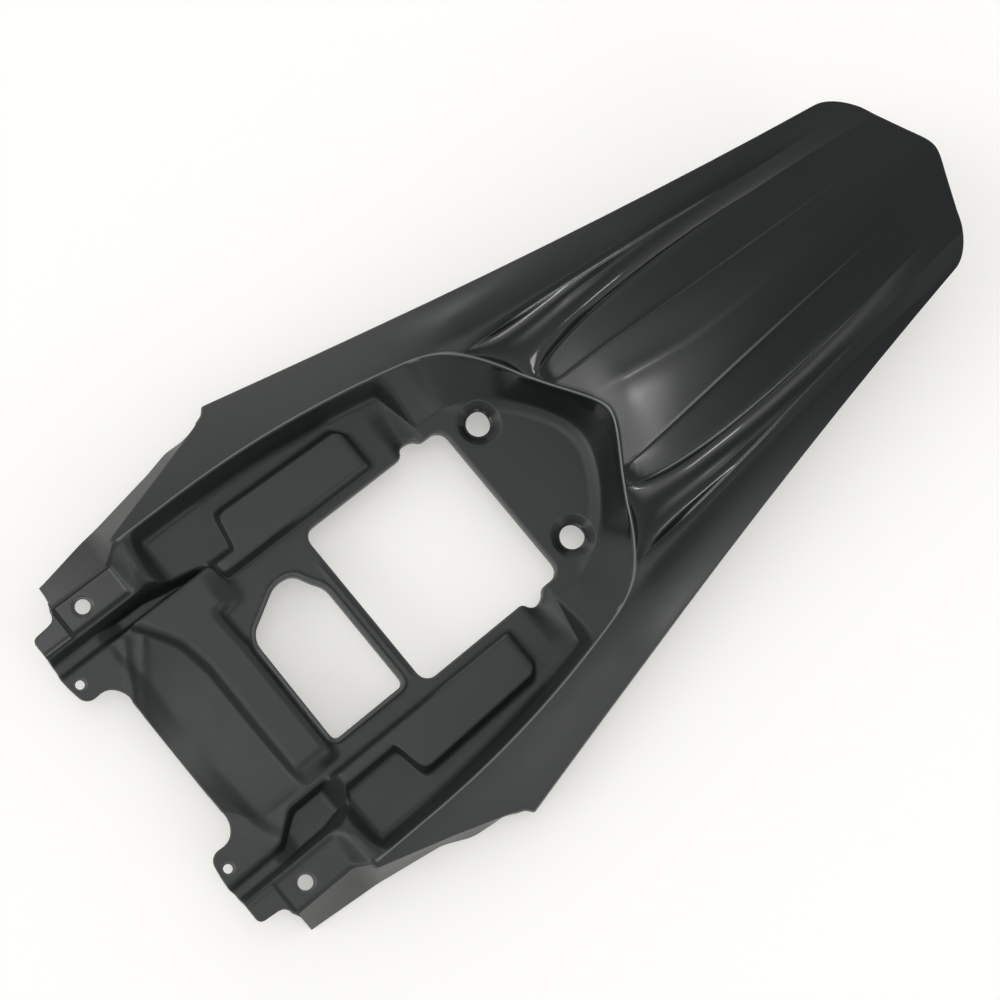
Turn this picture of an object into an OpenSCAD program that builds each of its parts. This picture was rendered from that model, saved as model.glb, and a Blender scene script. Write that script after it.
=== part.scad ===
// Motorcycle rear fender, one moulded shell: an open seat deck with two windows, a rim
// around the seat, side wings, a crowned tail with side channels, and two bolt-on rails.
// x runs to the tail, y across, z up. The origin lies between the two deck bolts, on the
// seats that their heads pull down on. Lengths are in millimetres.

/* [Shell] */
// Wall thickness of the moulding
wall = 2.6; // [2:0.1:3.2]
// Height of the deck floor above the seats of the deck bolts
seat_d = 3; // [2:0.5:5]

/* [Deck] */
// Half width of the flat floor between the raised pads
floor_half = 68; // [67:0.5:70]
// Distance of the pads' inner foot from the middle
pad_in = 73.5; // [72:0.5:76]
// Distance of the pads' outer foot from the middle, at their front
pad_out = 115; // [108:1:116]
// How far the pads' outer foot draws in towards their rear end
pad_taper = 3; // [0:0.5:5]
// Width of the narrow front part of each pad
pad_neck = 15.5; // [13:0.5:18]
// Height of the raised pads
pad_h = 12; // [8:0.5:15]
// Run of the pads' drafted sides in plan
pad_draft = 3.5; // [2.5:0.25:4.5]
// Width of the slanted cut across the pads' rear outer corners
pad_chamfer = 12; // [4:0.5:16]
// Distance of the pads' rear end ahead of the deck bolts
pad_rear = 80; // [76:1:90]
// Distance of the pads' wide part's front end ahead of the deck bolts
pad_step = 191; // [180:1:196]
// Distance of the left pad's front end ahead of the deck bolts
pad_front_l = 209; // [204:1:212]
// Distance of the right pad's front end ahead of the deck bolts
pad_front_r = 236; // [230:1:238]
// Depth of the two tapering grooves that run out of the large window
groove_d = 7; // [4:0.5:9]
// Distance of the grooves ahead of the deck bolts
groove_x = 50.5; // [46:0.5:54]

/* [Windows] */
// Distance of the large window's rear edge ahead of the deck bolts
win_rear = 23.5; // [22:0.5:30]
// Length of the large window
win_l = 124.5; // [110:0.5:126]
// Width of the large window
win_w = 133; // [120:1:134]
// Corner radius of the large window
win_r = 9; // [5:0.5:14]
// Depth of the flange under the large window's edge
win_flange = 8; // [4:0.5:12]
// Distance of the small window's rear edge ahead of the deck bolts
port_rear = 160; // [158:0.5:166]
// Length of the small window
port_l = 62; // [50:0.5:63]
// Reach of the small window to the left, at its rounded top
port_left = 51; // [44:0.5:54]
// Reach of the small window to the right
port_right = 57.5; // [48:0.5:60]
// Height of the raised lip around the small window
port_lip = 2.4; // [1:0.2:4]

/* [Rim and walls] */
// Half width of the rim line at the front of the seat well
rim_half = 137.3; // [134:0.5:141]
// Half width of the rim line where it turns in behind the seat
rim_turn = 114; // [111:0.5:116]
// Distance of the rim's rear middle behind the deck bolts
rim_rear = 70; // [66:1:76]
// Height of the rim over the deck, at the front of the well
rim_h = 22; // [18:0.5:26]
// Distance ahead of the deck bolts at which the rim starts to draw in
rim_bend = 205; // [200:1:210]
// Height of the rim over the deck, where it turns in
rim_turn_h = 26; // [22:0.5:30]
// Height of the rim over the deck, at the rear middle
rim_rear_h = 34; // [30:0.5:38]
// Run of the well's steep side walls in plan
side_run = 8; // [6:0.5:10]
// Run of the well's rear wall in plan, at the middle
rear_run = 17; // [13:0.5:20]

/* [Wings and tail] */
// Half width over the wings' front corners
wing_half = 181; // [174:0.5:188]
// Distance of the wings' front corners ahead of the deck bolts
wing_front = 145; // [141:0.5:150]
// Height of the wings' front corners over the deck
wing_h = -4; // [-10:0.5:4]
// Half width of the tail where its corners begin to round
tail_half = 79; // [74:0.5:84]
// Distance of the tail's tip behind the deck bolts
tail_l = 385; // [378:1:400]
// Height of the tail's tip over the deck
tail_h = 60; // [52:1:68]
// Height of the tail's corners over the deck
corner_h = 49; // [42:1:56]
// Drop of the tail's rear corners from its tip, measured along its length
tail_vee = 46; // [38:1:54]
// Depth of the side channels beside the crown, just behind the rim
chan_d = 11; // [6:0.5:14]
// Height of the step between the crown and the channels
step_h = 2.5; // [1:0.25:4]
// Depth of the hem that is turned down along the wings and the tail
hem_h = 5; // [4:0.5:8]

/* [Front] */
// Distance of the rails' front ends ahead of the deck bolts
nose_x = 337; // [333:1:340]
// Distance of the rail pads' rear ends ahead of the deck bolts
rail_end = 266; // [264:0.5:268]
// Distance of the wells' front ends behind the rails, ahead of the deck bolts
well_x = 240; // [238:0.5:241]
// Distance of the saddle's front edge ahead of the deck bolts
saddle_x = 309; // [306:0.5:314]
// Sag of the saddle's middle below its edges
saddle_sag = 9; // [5:0.5:12]
// Height of the cross block over the deck
block_h = 8; // [5:0.5:11]
// Distance of the cross block's front face ahead of the deck bolts
block_front = 258; // [257.5:0.25:259]
// Distance of the cross block's rear foot ahead of the deck bolts
block_rear = 224; // [223.5:0.5:227]
// Distance from the middle to the cross block's right end
block_half = 57; // [54:0.5:60]
// How far the block's left end reaches forward along its curved front
block_reach = 24; // [14:1:26]
// Depth of the troughs between the block and the rails
trough_d = 12; // [8:0.5:14]
// Distance of the troughs' front ends ahead of the deck bolts
trough_x = 292; // [289:0.5:296]
// Height of the rails' border lines over the deck
rail_h = 10; // [8:0.5:13]
// Depth of the rails' pads below their border lines
rail_pad_d = 1.5; // [0.5:0.25:2.5]
// Distance of the rails' inner edge from the middle
rail_in = 103; // [102:0.5:104.5]
// Distance of the rails' outer edge from the middle
rail_out = 131; // [129:0.5:133]
// Height of the skirts' lower edge over the deck
skirt_h = -32; // [-38:1:-24]
// Run in plan of the skirts, from the rails down to their lower edge
skirt_run = 15; // [12:0.5:18]
// How far inside the wings' front corners the skirts end
skirt_inset = 9.5; // [8:0.5:14]

/* [Bores] */
// Spacing of the two deck bolts
deck_bolt_gap = 104; // [100:0.5:108]
// Diameter of the deck bolt holes
deck_bolt_d = 17.5; // [12:0.5:19]
// Diameter of the round seats around the deck bolt holes
deck_seat_dia = 32; // [28:0.5:34]
// Spacing of the two ear holes
ear_gap = 157; // [152:0.5:160]
// Distance of the ear holes ahead of the deck bolts
ear_x = 329; // [326:0.5:330]
// Diameter of the ear holes
ear_d = 6.4; // [4:0.2:8]
// Spacing of the two rail holes
rail_gap = 236; // [233:0.5:238]
// Distance of the rail holes ahead of the deck bolts
rail_hole_x = 296; // [290:0.5:300]
// Diameter of the rail holes
rail_d = 10.4; // [6:0.2:12]

/* [Hidden] */

plastic = [0.075, 0.085, 0.08];

// Names of the lanes that run from the deck out over the rim. Rings over the wing and the hem's
// lower edge, which is the last lane, follow them
FLOOR = 0;
PAD_FOOT_IN = 1;
PAD_TOP_IN = 2;
PAD_TOP_OUT = 3;
PAD_FOOT_OUT = 4;
FOOT = 5;
LIP = 6;
RIM = 7;
wing_rings = 7;
EDGE = RIM + wing_rings;
HEM = EDGE + 1;
lanes = HEM;

// Share of the half width at which the deck's middle lanes lie
mid_share = [block_half / floor_half, 0.5, 0.2, 0, -0.2, -0.5, -block_half / floor_half];
middles = len(mid_share) + 1;
columns = 2 * lanes + middles;

// Where the tail's long creases leave the rim, as a share of its rear turn. The rays up to
// t_side end on the tail's straight sides and those up to t_crease on its rounded corners
t_side = 0.2;
t_crease = 0.28;
t_crown = 0.58;
t_fin = 0.66;
turn_x = -20;
// The ramp between the deck and the rim starts at the rear side of the grooves, and a level band
// runs between the deck's middle and the foot of the ramp and the rear wall
groove_half = 10.5;
ramp_x = -groove_x + groove_half + 2;
foot_band = 9;
ramp_foot = floor_half + foot_band;
// Share of the groove's depth that each lane from the floor to the foot has
groove_share = [1, 1, 0.95, 0.15, 0.05, 0];
tail_side_x = tail_l - tail_vee;
// Short runs in plan of steep faces, and of the rim's rounded inner edge
draft = 4;
lip = 1.5;
// Where the rail ends, the rim starts, and the fold ahead of the well comes down
rail_x = -rail_end;
rim_x = rail_x + 10;
fold_x = rim_x + 8;
// Where the rails' skirts pass into the wings, and the half width over the skirts' lower edge
skirt_x = rim_x - 2;
wing_x = skirt_x + draft;
skirt_half = rail_out + skirt_run;
skirt_rear = wing_half - skirt_inset;
// Run in plan of the hem
hem_run = 0.28 * hem_h;
// The saddle narrows to its front edge, behind a level brim, and dips towards the block
saddle_taper = 22;
brim = saddle_x - 9;
dip = -2.5;
// Run of the troughs' ends, and of the slope behind the block's left end
trough_run = 18;
// Heights ahead of and behind the deck between which cuts in plan reach through the shell
cut_low = -30;
cut_high = 20;

function mix(a, b, t) = a + (b - a) * t;
function unit(v) = v / max(norm(v), 1e-9);
function sum(v, i = 0) = i == len(v) - 1 ? v[i] : v[i] + sum(v, i + 1);
function bezier(a, b, c, d, t) =
  a * pow(1 - t, 3) + b * 3 * t * pow(1 - t, 2) + c * 3 * t * t * (1 - t) + d * pow(t, 3);
// Splits each step between the given values into equal parts no longer than a limit
function fill(v, limit) = concat(
  [for (i = [0:len(v) - 2]) let (n = ceil((v[i + 1] - v[i]) / limit - 1e-6))
    for (k = [0:n - 1]) mix(v[i], v[i + 1], k / n)], [v[len(v) - 1]]);
// The values in rising order, where those that lie closer together than the gap become one
function ordered(v, gap) = len(v) == 0 ? [] : let (p = v[floor(len(v) / 2)])
  concat(ordered([for (x = v) if (x < p - gap) x], gap), [p],
    ordered([for (x = v) if (x > p + gap) x], gap));
// A height that rises along a line, which is given by its first x and height, its last x and
// height, and its bow in the middle
function rise(x, line) = let (u = (x - line[0]) / (line[2] - line[0]))
  mix(line[1], line[3], u) + line[4] * 4 * u * (1 - u);
edge_rise = [-wing_front, wing_h, tail_side_x, corner_h, -4];
crease_rise = [13, rim_turn_h + 1, tail_l - 23, corner_h + 2, -5];
crown_rise = [43, rim_rear_h - 3.5, tail_l - 16, tail_h - 6.5, 3];
spine_rise = [rim_rear, rim_rear_h, tail_l, tail_h, 6];
// Where the fin's line lies between the crown's and the spine's, at the deck bolts and at the tip
fin_share = [0.8, 0.54];
// Bow of the wings across their width
wing_bow = 6;

// Rim line and wing edge in plan. The edge's front part ends in the hook of the wing's corner, and
// its long part draws in by edge_in behind the corner and by edge_out ahead of the tail
corner_x = -wing_front - 18;
wing_front_line = [[wing_x, rim_half + draft], [-rim_bend + 5, wing_half - 23],
  [corner_x, wing_half - 10.5], [-wing_front - 5, wing_half - 5.5], [-wing_front, wing_half]];
edge_in = 38.5;
edge_out = 27;
function rim_y(x) =
  rim_half - (rim_half - rim_turn) * pow(max(0, (x + rim_bend) / (turn_x + rim_bend)), 2);
function edge_y(x) = x < -wing_front ? lookup(x, wing_front_line) :
  bezier(wing_half, wing_half - edge_in, tail_half + edge_out, tail_half,
    (x + wing_front) / (tail_side_x + wing_front));

// Plan and height of each lane ahead of the rim's turn. left is true on the side of +y
function pad_front(left) = left ? pad_front_l : pad_front_r;
function lane_y(j, x, left) =
  let (f = -pad_front(left), neck = pad_in + pad_neck, step = -pad_step)
  x > ramp_x - 0.01 && j <= FOOT ? mix(floor_half, ramp_foot, j / FOOT) :
  j == FLOOR ? lookup(x, [[-saddle_x, floor_half - saddle_taper], [-trough_x, floor_half]]) :
  j == PAD_FOOT_IN ? (left
    ? lookup(x, [[f - draft, neck - 1], [f, pad_in]])
    : lookup(x, [[-trough_x, neck - 1], [-trough_x + trough_run, pad_in]])) :
  j == PAD_TOP_IN ? (left
    ? lookup(x, [[f - draft, neck + 2], [f, pad_in + pad_draft]])
    : lookup(x, [[-trough_x, neck + 3], [-trough_x + trough_run + 2, pad_in + draft],
      [f, pad_in + pad_draft]])) :
  j == PAD_TOP_OUT ? lookup(x, [[-trough_x - 8, rail_in - draft], [rail_x + draft, rail_in - draft - 1],
    [-well_x, neck + draft], [f, neck - pad_draft], [step, neck - pad_draft],
    [step + 2, pad_out - pad_draft], [-pad_rear - draft - 1, pad_out - pad_taper - pad_draft],
    [-pad_rear, pad_out - pad_taper - pad_chamfer]]) :
  j == PAD_FOOT_OUT ? lookup(x, [[rail_x + draft, rail_in], [rim_x + 2, rail_in + 1],
    [-well_x, neck + 2 * draft], [f, neck + 1], [step - 1, neck], [step + 1.5, pad_out],
    [-pad_rear - draft - 1, pad_out - pad_taper], [-pad_rear, pad_out - pad_taper - pad_chamfer / 2]]) :
  j == FOOT ? lookup(x, [[rail_x + draft, rail_in + draft], [rim_x, rail_in + 2 * draft],
    [fold_x, rail_in + 10], [-well_x, rim_half - side_run]]) :
  j == LIP ? lookup(x, [[rail_x + 1, rail_out - 3], [rim_x, rim_half - 3], [-well_x, rim_half - lip]]) :
  lookup(x, [[rail_x, rail_out], [rim_x, rim_half]]);
// Lanes that follow the curved part of the rim take their place from it
function side_y(j, x, left) =
  x < -rim_bend || j < FOOT || (j == FOOT && x > ramp_x - 0.01) ? lane_y(j, x, left) :
  j == FOOT ? rim_y(x) - side_run : j == LIP ? rim_y(x) - lip : rim_y(x);

// The tapering groove is deepest at the window and runs out below the rim
function groove(j, x) = j > FOOT ? 0 :
  max(0, 1 - abs(x + groove_x) / groove_half) * groove_d * groove_share[j];
function lane_z(j, x, left) =
  let (f = -pad_front(left), low = rail_h - rail_pad_d)
  j == FLOOR ? (left
    ? lookup(x, [[-brim, 0], [-trough_x, dip], [-block_front, dip],
      [-block_front + draft, block_h], [-block_rear + 2, block_h], [-block_rear + trough_run, 0]])
    : lookup(x, [[-brim, 0], [-trough_x, dip], [-trough_x + trough_run, 0]])) :
  j == PAD_FOOT_IN ? (left ? lookup(x, [[-trough_x, 0], [-trough_x + draft, 0],
    [-block_front, 0], [-block_front + draft, block_h], [f - 3, block_h], [f + 1, 0]]) : 0) :
  j <= PAD_TOP_OUT ? lookup(x, [[-trough_x - 8, -3], [-trough_x + 8, -trough_d], [f - 12, -trough_d],
    [f - 5, 0], [f + 1, pad_h], [-pad_rear - draft, pad_h], [-pad_rear, 0]]) :
  j == PAD_FOOT_OUT ? lookup(x, [[rail_x + draft, rail_h], [rim_x + 1, rail_h + 3],
    [fold_x - 1, rail_h + 3], [-well_x, 0]]) :
  j == FOOT ? lookup(x, [[rail_x + 2, low], [rim_x, rail_h + 8], [fold_x, rail_h + 8], [-well_x, 0]]) :
  j == LIP ? lookup(x, [[rail_x + 1, low], [rim_x, rim_h - lip], [turn_x, rim_turn_h - lip]]) :
  lookup(x, [[rail_x, rail_h], [rim_x, rim_h], [turn_x, rim_turn_h]]);

// The block's curved front: rows bend forward where the block reaches ahead on the left
bend_share = [[floor_half / 2, 0], [block_half, 0.17], [floor_half, 0.42], [pad_in + pad_neck, 1]];
function bent(x, y) = x - block_reach * lookup(y, bend_share) * lookup(x, [[-brim, 0], [-block_front, 1],
  [-block_front + draft, 1], [-block_rear + 4, 0]]);

// Outside the rim the shell is a skirt beside the rails and a wing behind them. The skirt runs on
// below the wing's front edge to its corner, and goes over there into the hem
skirt_turn = 20;
skirt_line = [[-saddle_x, skirt_half], [rim_x, skirt_half + 5],
  [-rim_bend, mix(skirt_half, skirt_rear, 0.53)],
  [-rim_bend + skirt_turn, mix(skirt_half, skirt_rear, 0.9)],
  [-rim_bend + 2 * skirt_turn, skirt_rear]];
function skirt_y(x) = lookup(x, skirt_line);
function wing_z(x, y) =
  let (r = rim_y(x), s = (y - r) / ((x < -wing_front ? wing_half : edge_y(x)) - r))
    mix(lane_z(RIM, x, true), rise(max(x, -wing_front), edge_rise), s) + wing_bow * s * (1 - s);
function outer(x, s) = x < skirt_x + 1
  ? [x, mix(lane_y(RIM, x, true), skirt_y(x), s), mix(lane_z(RIM, x, true), skirt_h, s)]
  : let (y = mix(side_y(RIM, x, true), edge_y(x), s)) [x, y, wing_z(x, y)];
// The rings lie on the upper half of the skirt, and rise to the rim where the wing starts
function hem_share(x) = x > skirt_x + 1 ? 1 : lookup(x, [[rail_x, 0.5], [skirt_x, 0.12]]);
function hem(edge, inner) =
  edge + unit([edge[0] - inner[0], edge[1] - inner[1], 0]) * hem_run - [0, 0, hem_h];

// One straight row across half the shell, at a given x
function straight_point(j, x, left) =
  j == HEM ? (x < corner_x + 1 ? [x, skirt_y(x), skirt_h] : hem(outer(x, 1), outer(x, 0))) :
  j > RIM ? outer(x, (j - RIM) / wing_rings * hem_share(x)) :
  let (y = side_y(j, x, left))
  [left && j <= PAD_FOOT_IN ? bent(x, y) : x, y, lane_z(j, x, left) - groove(j, x)];

// Curves behind the turn of the rim, for t from the side to the middle. Each list holds a curve's
// start, its two inner control points and its end
foot_x = rim_rear - rear_run;
floor_end_x = foot_x - foot_band;
floor_bend = 25;
foot_bend = 30;
flank_in = 34;
flank_half = 62;
rim_flank = [rim_rear - flank_in, flank_half];
floor_curve = [[turn_x, floor_half], [turn_x + floor_bend, floor_half], [floor_end_x, 26], [floor_end_x, 0]];
foot_curve = [[turn_x, ramp_foot], [turn_x + foot_bend, ramp_foot], [foot_x, 30], [foot_x, 0]];
rim_side_curve = [[turn_x, rim_turn], [turn_x + 24, rim_turn - 6], rim_flank + [-16, 32], rim_flank];
rim_rear_curve = [rim_flank, rim_flank + [13.5, -27], [rim_rear, 13], [rim_rear, 0]];
corner_end = [tail_l - 23, tail_half - 18];
crown_end = [tail_l - 16.5, tail_half - 33.5];
fin_end = [tail_l - 7.3, 22.5];
corner_curve = [[tail_side_x, tail_half], [tail_side_x + 9, tail_half - 1.5], corner_end + [-5, 7.5],
  corner_end];
vee_curve = [corner_end, corner_end + [3.3, -5], crown_end + [-2, 5], crown_end];
tip_curve = [fin_end, fin_end + [4.5, -11], [tail_l, 6], [tail_l, 0]];
function curve(c, t) = bezier(c[0], c[1], c[2], c[3], t);
function floor_line(t) = curve(floor_curve, t);
function foot_line(t) = curve(foot_curve, t);
function rim_line(t) = t < 0.5 ? curve(rim_side_curve, 2 * t) : curve(rim_rear_curve, 2 * t - 1);
function tail_line(t) =
  t <= t_side ? let (x = mix(turn_x, tail_side_x, t / t_side)) [x, edge_y(x)] :
  t <= t_crease ? curve(corner_curve, (t - t_side) / (t_crease - t_side)) :
  t <= t_crown ? curve(vee_curve, (t - t_crease) / (t_crown - t_crease)) :
  t <= t_fin ? mix(crown_end, fin_end, (t - t_crown) / (t_fin - t_crown)) :
  curve(tip_curve, (t - t_fin) / (1 - t_fin));

// Inner control points of the three creases and of the spine
crease_a = [90, 93];
crease_b = [250, 70];
crown_a = [100, 73];
crown_b = [240, 61];
fin_a = [110, 36];
fin_b = [250, 24];
spine_a = [175, 0];
spine_b = [280, 0];

// One point of the ray that leaves the rim at t, at share s of its length
function ray_plan(t, s) =
  let (r = rim_line(t), o = tail_line(t), w = t / t_crease)
  t < t_crease ? bezier(r, mix(mix(r, o, 1 / 3), crease_a, w * w),
    mix(mix(r, o, 2 / 3), crease_b, w * w), o, s) :
  t < t_crown ? let (v = (t - t_crease) / (t_crown - t_crease))
    bezier(r, mix(crease_a, crown_a, v), mix(crease_b, crown_b, v), o, s) :
  t < t_fin ? let (v = (t - t_crown) / (t_fin - t_crown))
    bezier(r, mix(crown_a, fin_a, v), mix(crown_b, fin_b, v), o, s) :
  let (v = (t - t_fin) / (1 - t_fin))
    bezier(r, mix(fin_a, spine_a, v), mix(fin_b, spine_b, v), o, s);
// The channel deepens over a short run behind the rim and fades along its length, as the step
// beside the crown does
chan_start = 10;
chan_l = 280;
step_l = 270;
function channel(x, run, v) = (1 - exp(-run / chan_start)) *
  (4 * v * (1 - v) * chan_d * pow(max(0, 1 - run / chan_l), 1.5)
    + step_h * max(0, 1 - x / step_l) * (v > 0.99 ? 0 : v));
function ray_z(t, s, p) =
  let (x = p[0], r = rim_line(t), o = tail_line(t), crease = rise(x, crease_rise),
    crown = rise(x, crown_rise), spine = rise(x, spine_rise),
    fin = mix(crown, spine, mix(fin_share[0], fin_share[1], max(0, x) / tail_l)))
  t < t_crease ? let (w = t / t_crease)
    mix(mix(rim_turn_h + w, rise(o[0], edge_rise), s) + wing_bow * s * (1 - s), crease, w * w) :
  t < t_crown ? let (v = (t - t_crease) / (t_crown - t_crease))
    mix(crease, crown, v) - channel(x, x - r[0], v) :
  t < t_fin ? mix(crown, fin, (t - t_crown) / (t_fin - t_crown)) :
  let (v = (t - t_fin) / (1 - t_fin)) mix(fin, spine, 1 - (1 - v) * (1 - v));
// Rings lie closer together near the rim, and the lip lies this far up the rear wall
ring_spread = 1.25;
lip_way = 0.92;
lip_height = 0.95;
function ray_point(j, t) =
  let (a = floor_line(t), f = foot_line(t), s = pow(max(0, j - RIM) / wing_rings, ring_spread),
    p = ray_plan(t, min(s, 1)), top = ray_z(t, 0, rim_line(t)))
  j == HEM ? hem(ray_point(EDGE, t), ray_point(EDGE - 1, t)) :
  j <= FOOT ? concat(mix(a, f, j / FOOT), 0) :
  j == LIP ? concat(mix(f, p, lip_way), top * lip_height) : concat(p, ray_z(t, s, p));

// Rows of the whole shell: stations along x, then rays around the rim's rear turn
row_gap = 0.4;
row_run = 26;
stations = fill(ordered([-nose_x, -nose_x + 20, -trough_x - 8, -trough_x, -trough_x + 8, -trough_x + 15,
  rail_x - 7, rail_x, rail_x + draft, skirt_x, wing_x, fold_x, -well_x,
  -pad_front_r - 0.5, -pad_front_r + 2, -block_rear + 2, -pad_front_l - 3, -pad_front_l + 1.5,
  -pad_step - 2, -pad_step + 2, corner_x, corner_x + draft, -wing_front - 5, -wing_front,
  -pad_rear - draft, -pad_rear, -groove_x - groove_half,
  -groove_x - groove_half / 2, -groove_x, -groove_x + groove_half / 2, ramp_x, turn_x], row_gap), row_run);
rays = concat(fill([0, t_side], 0.067), fill([t_side, t_crease], 0.027), fill([t_crease, t_crown], 0.06),
  fill([t_crown, t_fin], 0.04), fill([t_fin, 1], 0.07));
turns = [for (i = [1:len(rays) - 1]) if (rays[i] > rays[i - 1]) rays[i]];
rows = len(stations) + len(turns);
last = rows - 1;

function half_point(k, j, left) = k < len(stations)
  ? straight_point(j, stations[k], left) : ray_point(j, turns[k - len(stations)]);
function mirror_y(p) = [p[0], -p[1], p[2]];
// The middle of the deck is flat. Further forward it is the cross block and the saddle
function middle_z(x, share) =
  let (rise = abs(share) > block_half / floor_half + 0.01 ? 0 : lookup(x, [[-block_front, 0],
      [-block_front + draft, 1], [-block_rear - 5, 1], [-block_rear, 0]]),
    sag = saddle_sag * (1 - share * share) * lookup(x, [[-saddle_x, 1], [-block_front, 0.6],
      [-block_front + draft, 0]]),
    edge = lookup(x, [[-brim, 0], [-trough_x, dip], [-block_front, share > 0 ? dip : 0],
      [-block_front + draft, 0]]))
  mix(edge * abs(share) - sag, block_h, rise);
function grid_point(k, c) =
  c <= lanes ? half_point(k, lanes - c, true) :
  c >= lanes + middles ? mirror_y(half_point(k, c - lanes - middles, false)) :
  let (a = half_point(k, 0, true), share = mid_share[c - lanes - 1], y = a[1] * share)
    k < len(stations) ? [bent(stations[k], y), y, middle_z(stations[k], share)] : [a[0], y, 0];

top = [for (k = [0:last]) [for (c = [0:columns]) grid_point(k, c)]];
cell_normal = [for (k = [0:last - 1]) [for (c = [0:columns - 1])
  unit(cross(top[k + 1][c] - top[k][c + 1], top[k + 1][c + 1] - top[k][c]))]];
// The underside lies one wall inside the upper face, square to the cells that meet there
function around(k, c) = concat(
  [for (i = [k - 1, k]) for (d = [c - 1, c])
    if (i >= 0 && i < last && d >= 0 && d < columns) cell_normal[i][d]],
  k == last ? [for (d = [c - 1, c]) if (d >= 0 && d < columns) mirror_y(cell_normal[last - 1][d])] : []);
function under(k, c) =
  let (n = around(k, c), a = unit(sum(n)), fit = sum([for (v = n) a * v]) / len(n))
  top[k][c] + a * wall / max(0.5, fit);
bottom = [for (k = [0:last]) [for (c = [0:columns]) under(k, c)]];

function id(k, c) = k * (columns + 1) +
  (k < last || c <= lanes ? c : c < lanes + middles ? lanes : columns - c);
function keep(f) = [for (t = f) if (t[0] != t[1] && t[1] != t[2] && t[0] != t[2]) t];
function quad(a, b, c, d) = [[a, b, c], [a, c, d]];
shell_faces =
  let (n = rows * (columns + 1))
  keep(concat(
    [for (k = [0:last - 1]) for (c = [0:columns - 1])
      for (t = quad(id(k, c), id(k + 1, c), id(k + 1, c + 1), id(k, c + 1))) t],
    [for (k = [0:last - 1]) for (c = [0:columns - 1])
      for (t = quad(n + id(k, c), n + id(k, c + 1), n + id(k + 1, c + 1), n + id(k + 1, c))) t],
    [for (c = [0:columns - 1])
      for (t = quad(id(0, c), id(0, c + 1), n + id(0, c + 1), n + id(0, c))) t],
    [for (k = [0:last - 1])
      for (t = quad(id(k + 1, 0), id(k, 0), n + id(k, 0), n + id(k + 1, 0))) t],
    [for (k = [0:last - 1])
      for (t = quad(id(k, columns), id(k + 1, columns), n + id(k + 1, columns), n + id(k, columns))) t]));

module shell() {
  polyhedron(points = concat([for (r = top) each r], [for (r = bottom) each r]),
    faces = shell_faces, convexity = 12);
}

module rounded(r) {
  offset(r = r, $fn = 32) offset(delta = -r) children();
}
module eased(r) {
  offset(r = -r, $fn = 32) offset(delta = r) children();
}

// Plan of the large window with its two half round notches
module window_plan() {
  rounded(win_r) translate([-win_rear - win_l, -win_w / 2]) square([win_l, win_w]);
  for (s = [-1, 1]) translate([-groove_x, s * (win_w / 2 - 2)]) circle(r = win_r, $fn = 32);
}
// Plan of the small window, drawn in to the left like a bell: the corners of its slanted sides lie
// this far ahead of its rear edge and short of its reach to the left
port_r = 5;
port_bell = [[0, 23], [6, 14], [12, 2], [26, 0], [port_l - 1, 20]];
module port_plan() {
  rounded(port_r) polygon([[-port_rear, -port_right],
    for (p = port_bell) [-port_rear - p[0], port_left - p[1]],
    [-port_rear - port_l, -port_right]]);
}

// Outline of the front in plan: saddle edge, ears, rail noses and the skirts' front ends
ear_in = 57;
ear_out = 84;
ear_neck = 66;
nose_step = 18;
skirt_front = nose_x - 26;
front_r = 3;
spare = 12;
front_reach = 80;
module front_half() {
  polygon([[-block_rear, 0], [-saddle_x, 0], [-saddle_x, ear_in], [-saddle_x - 9, ear_neck],
    [-nose_x + 2, ear_neck - 2], [-nose_x - 1, ear_out], [-nose_x - 1, rail_in - 12], [-nose_x, rail_in - 9],
    [-nose_x, rail_out - 11], [-nose_x + nose_step, rail_out - 9.5], [-nose_x + nose_step + 5, rail_out],
    [-skirt_front, skirt_half - 1], [-skirt_front, skirt_half + spare], [-block_rear, skirt_half + spare]]);
}
module front_cut() {
  linear_extrude(height = 2 * front_reach, center = true) difference() {
    translate([-nose_x - spare, -skirt_half - spare])
      square([nose_x - saddle_x + 2 * spare, 2 * (skirt_half + spare)]);
    eased(front_r) rounded(front_r) union() {
      front_half();
      mirror([0, 1]) front_half();
    }
  }
}

// The flanges and the bolts' cups stop this far below the floor's face, inside the wall
sink = 0.4;
port_flange = 6;
port_lip_w = wall + 1.6;
module bore(x, y, d) {
  translate([x, y, cut_low]) cylinder(d = d, h = cut_high - cut_low, $fn = 32);
}
module prism(z0, z1) {
  translate([0, 0, z0]) linear_extrude(height = z1 - z0) children();
}

module rear_fender() {
  color(plastic) translate([0, 0, seat_d]) difference() {
    union() {
      difference() {
        shell();
        front_cut();
      }
      prism(-win_flange, -sink) difference() {
        offset(r = wall, $fn = 32) window_plan();
        window_plan();
      }
      prism(-port_flange, port_lip) difference() {
        offset(r = port_lip_w, $fn = 32) port_plan();
        port_plan();
      }
      for (s = [-1, 1]) translate([0, s * deck_bolt_gap / 2, -seat_d - wall])
        cylinder(d = deck_seat_dia + 2 * wall, h = seat_d + wall - sink, $fn = 64);
    }
    prism(cut_low, cut_high) window_plan();
    prism(cut_low, cut_high) port_plan();
    for (s = [-1, 1]) {
      translate([0, s * deck_bolt_gap / 2, -seat_d]) cylinder(d = deck_seat_dia, h = 2 * seat_d, $fn = 64);
      bore(0, s * deck_bolt_gap / 2, deck_bolt_d);
      bore(-ear_x, s * ear_gap / 2, ear_d);
      bore(-rail_hole_x, s * rail_gap / 2, rail_d);
    }
  }
}

rear_fender();
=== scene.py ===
import math

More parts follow.
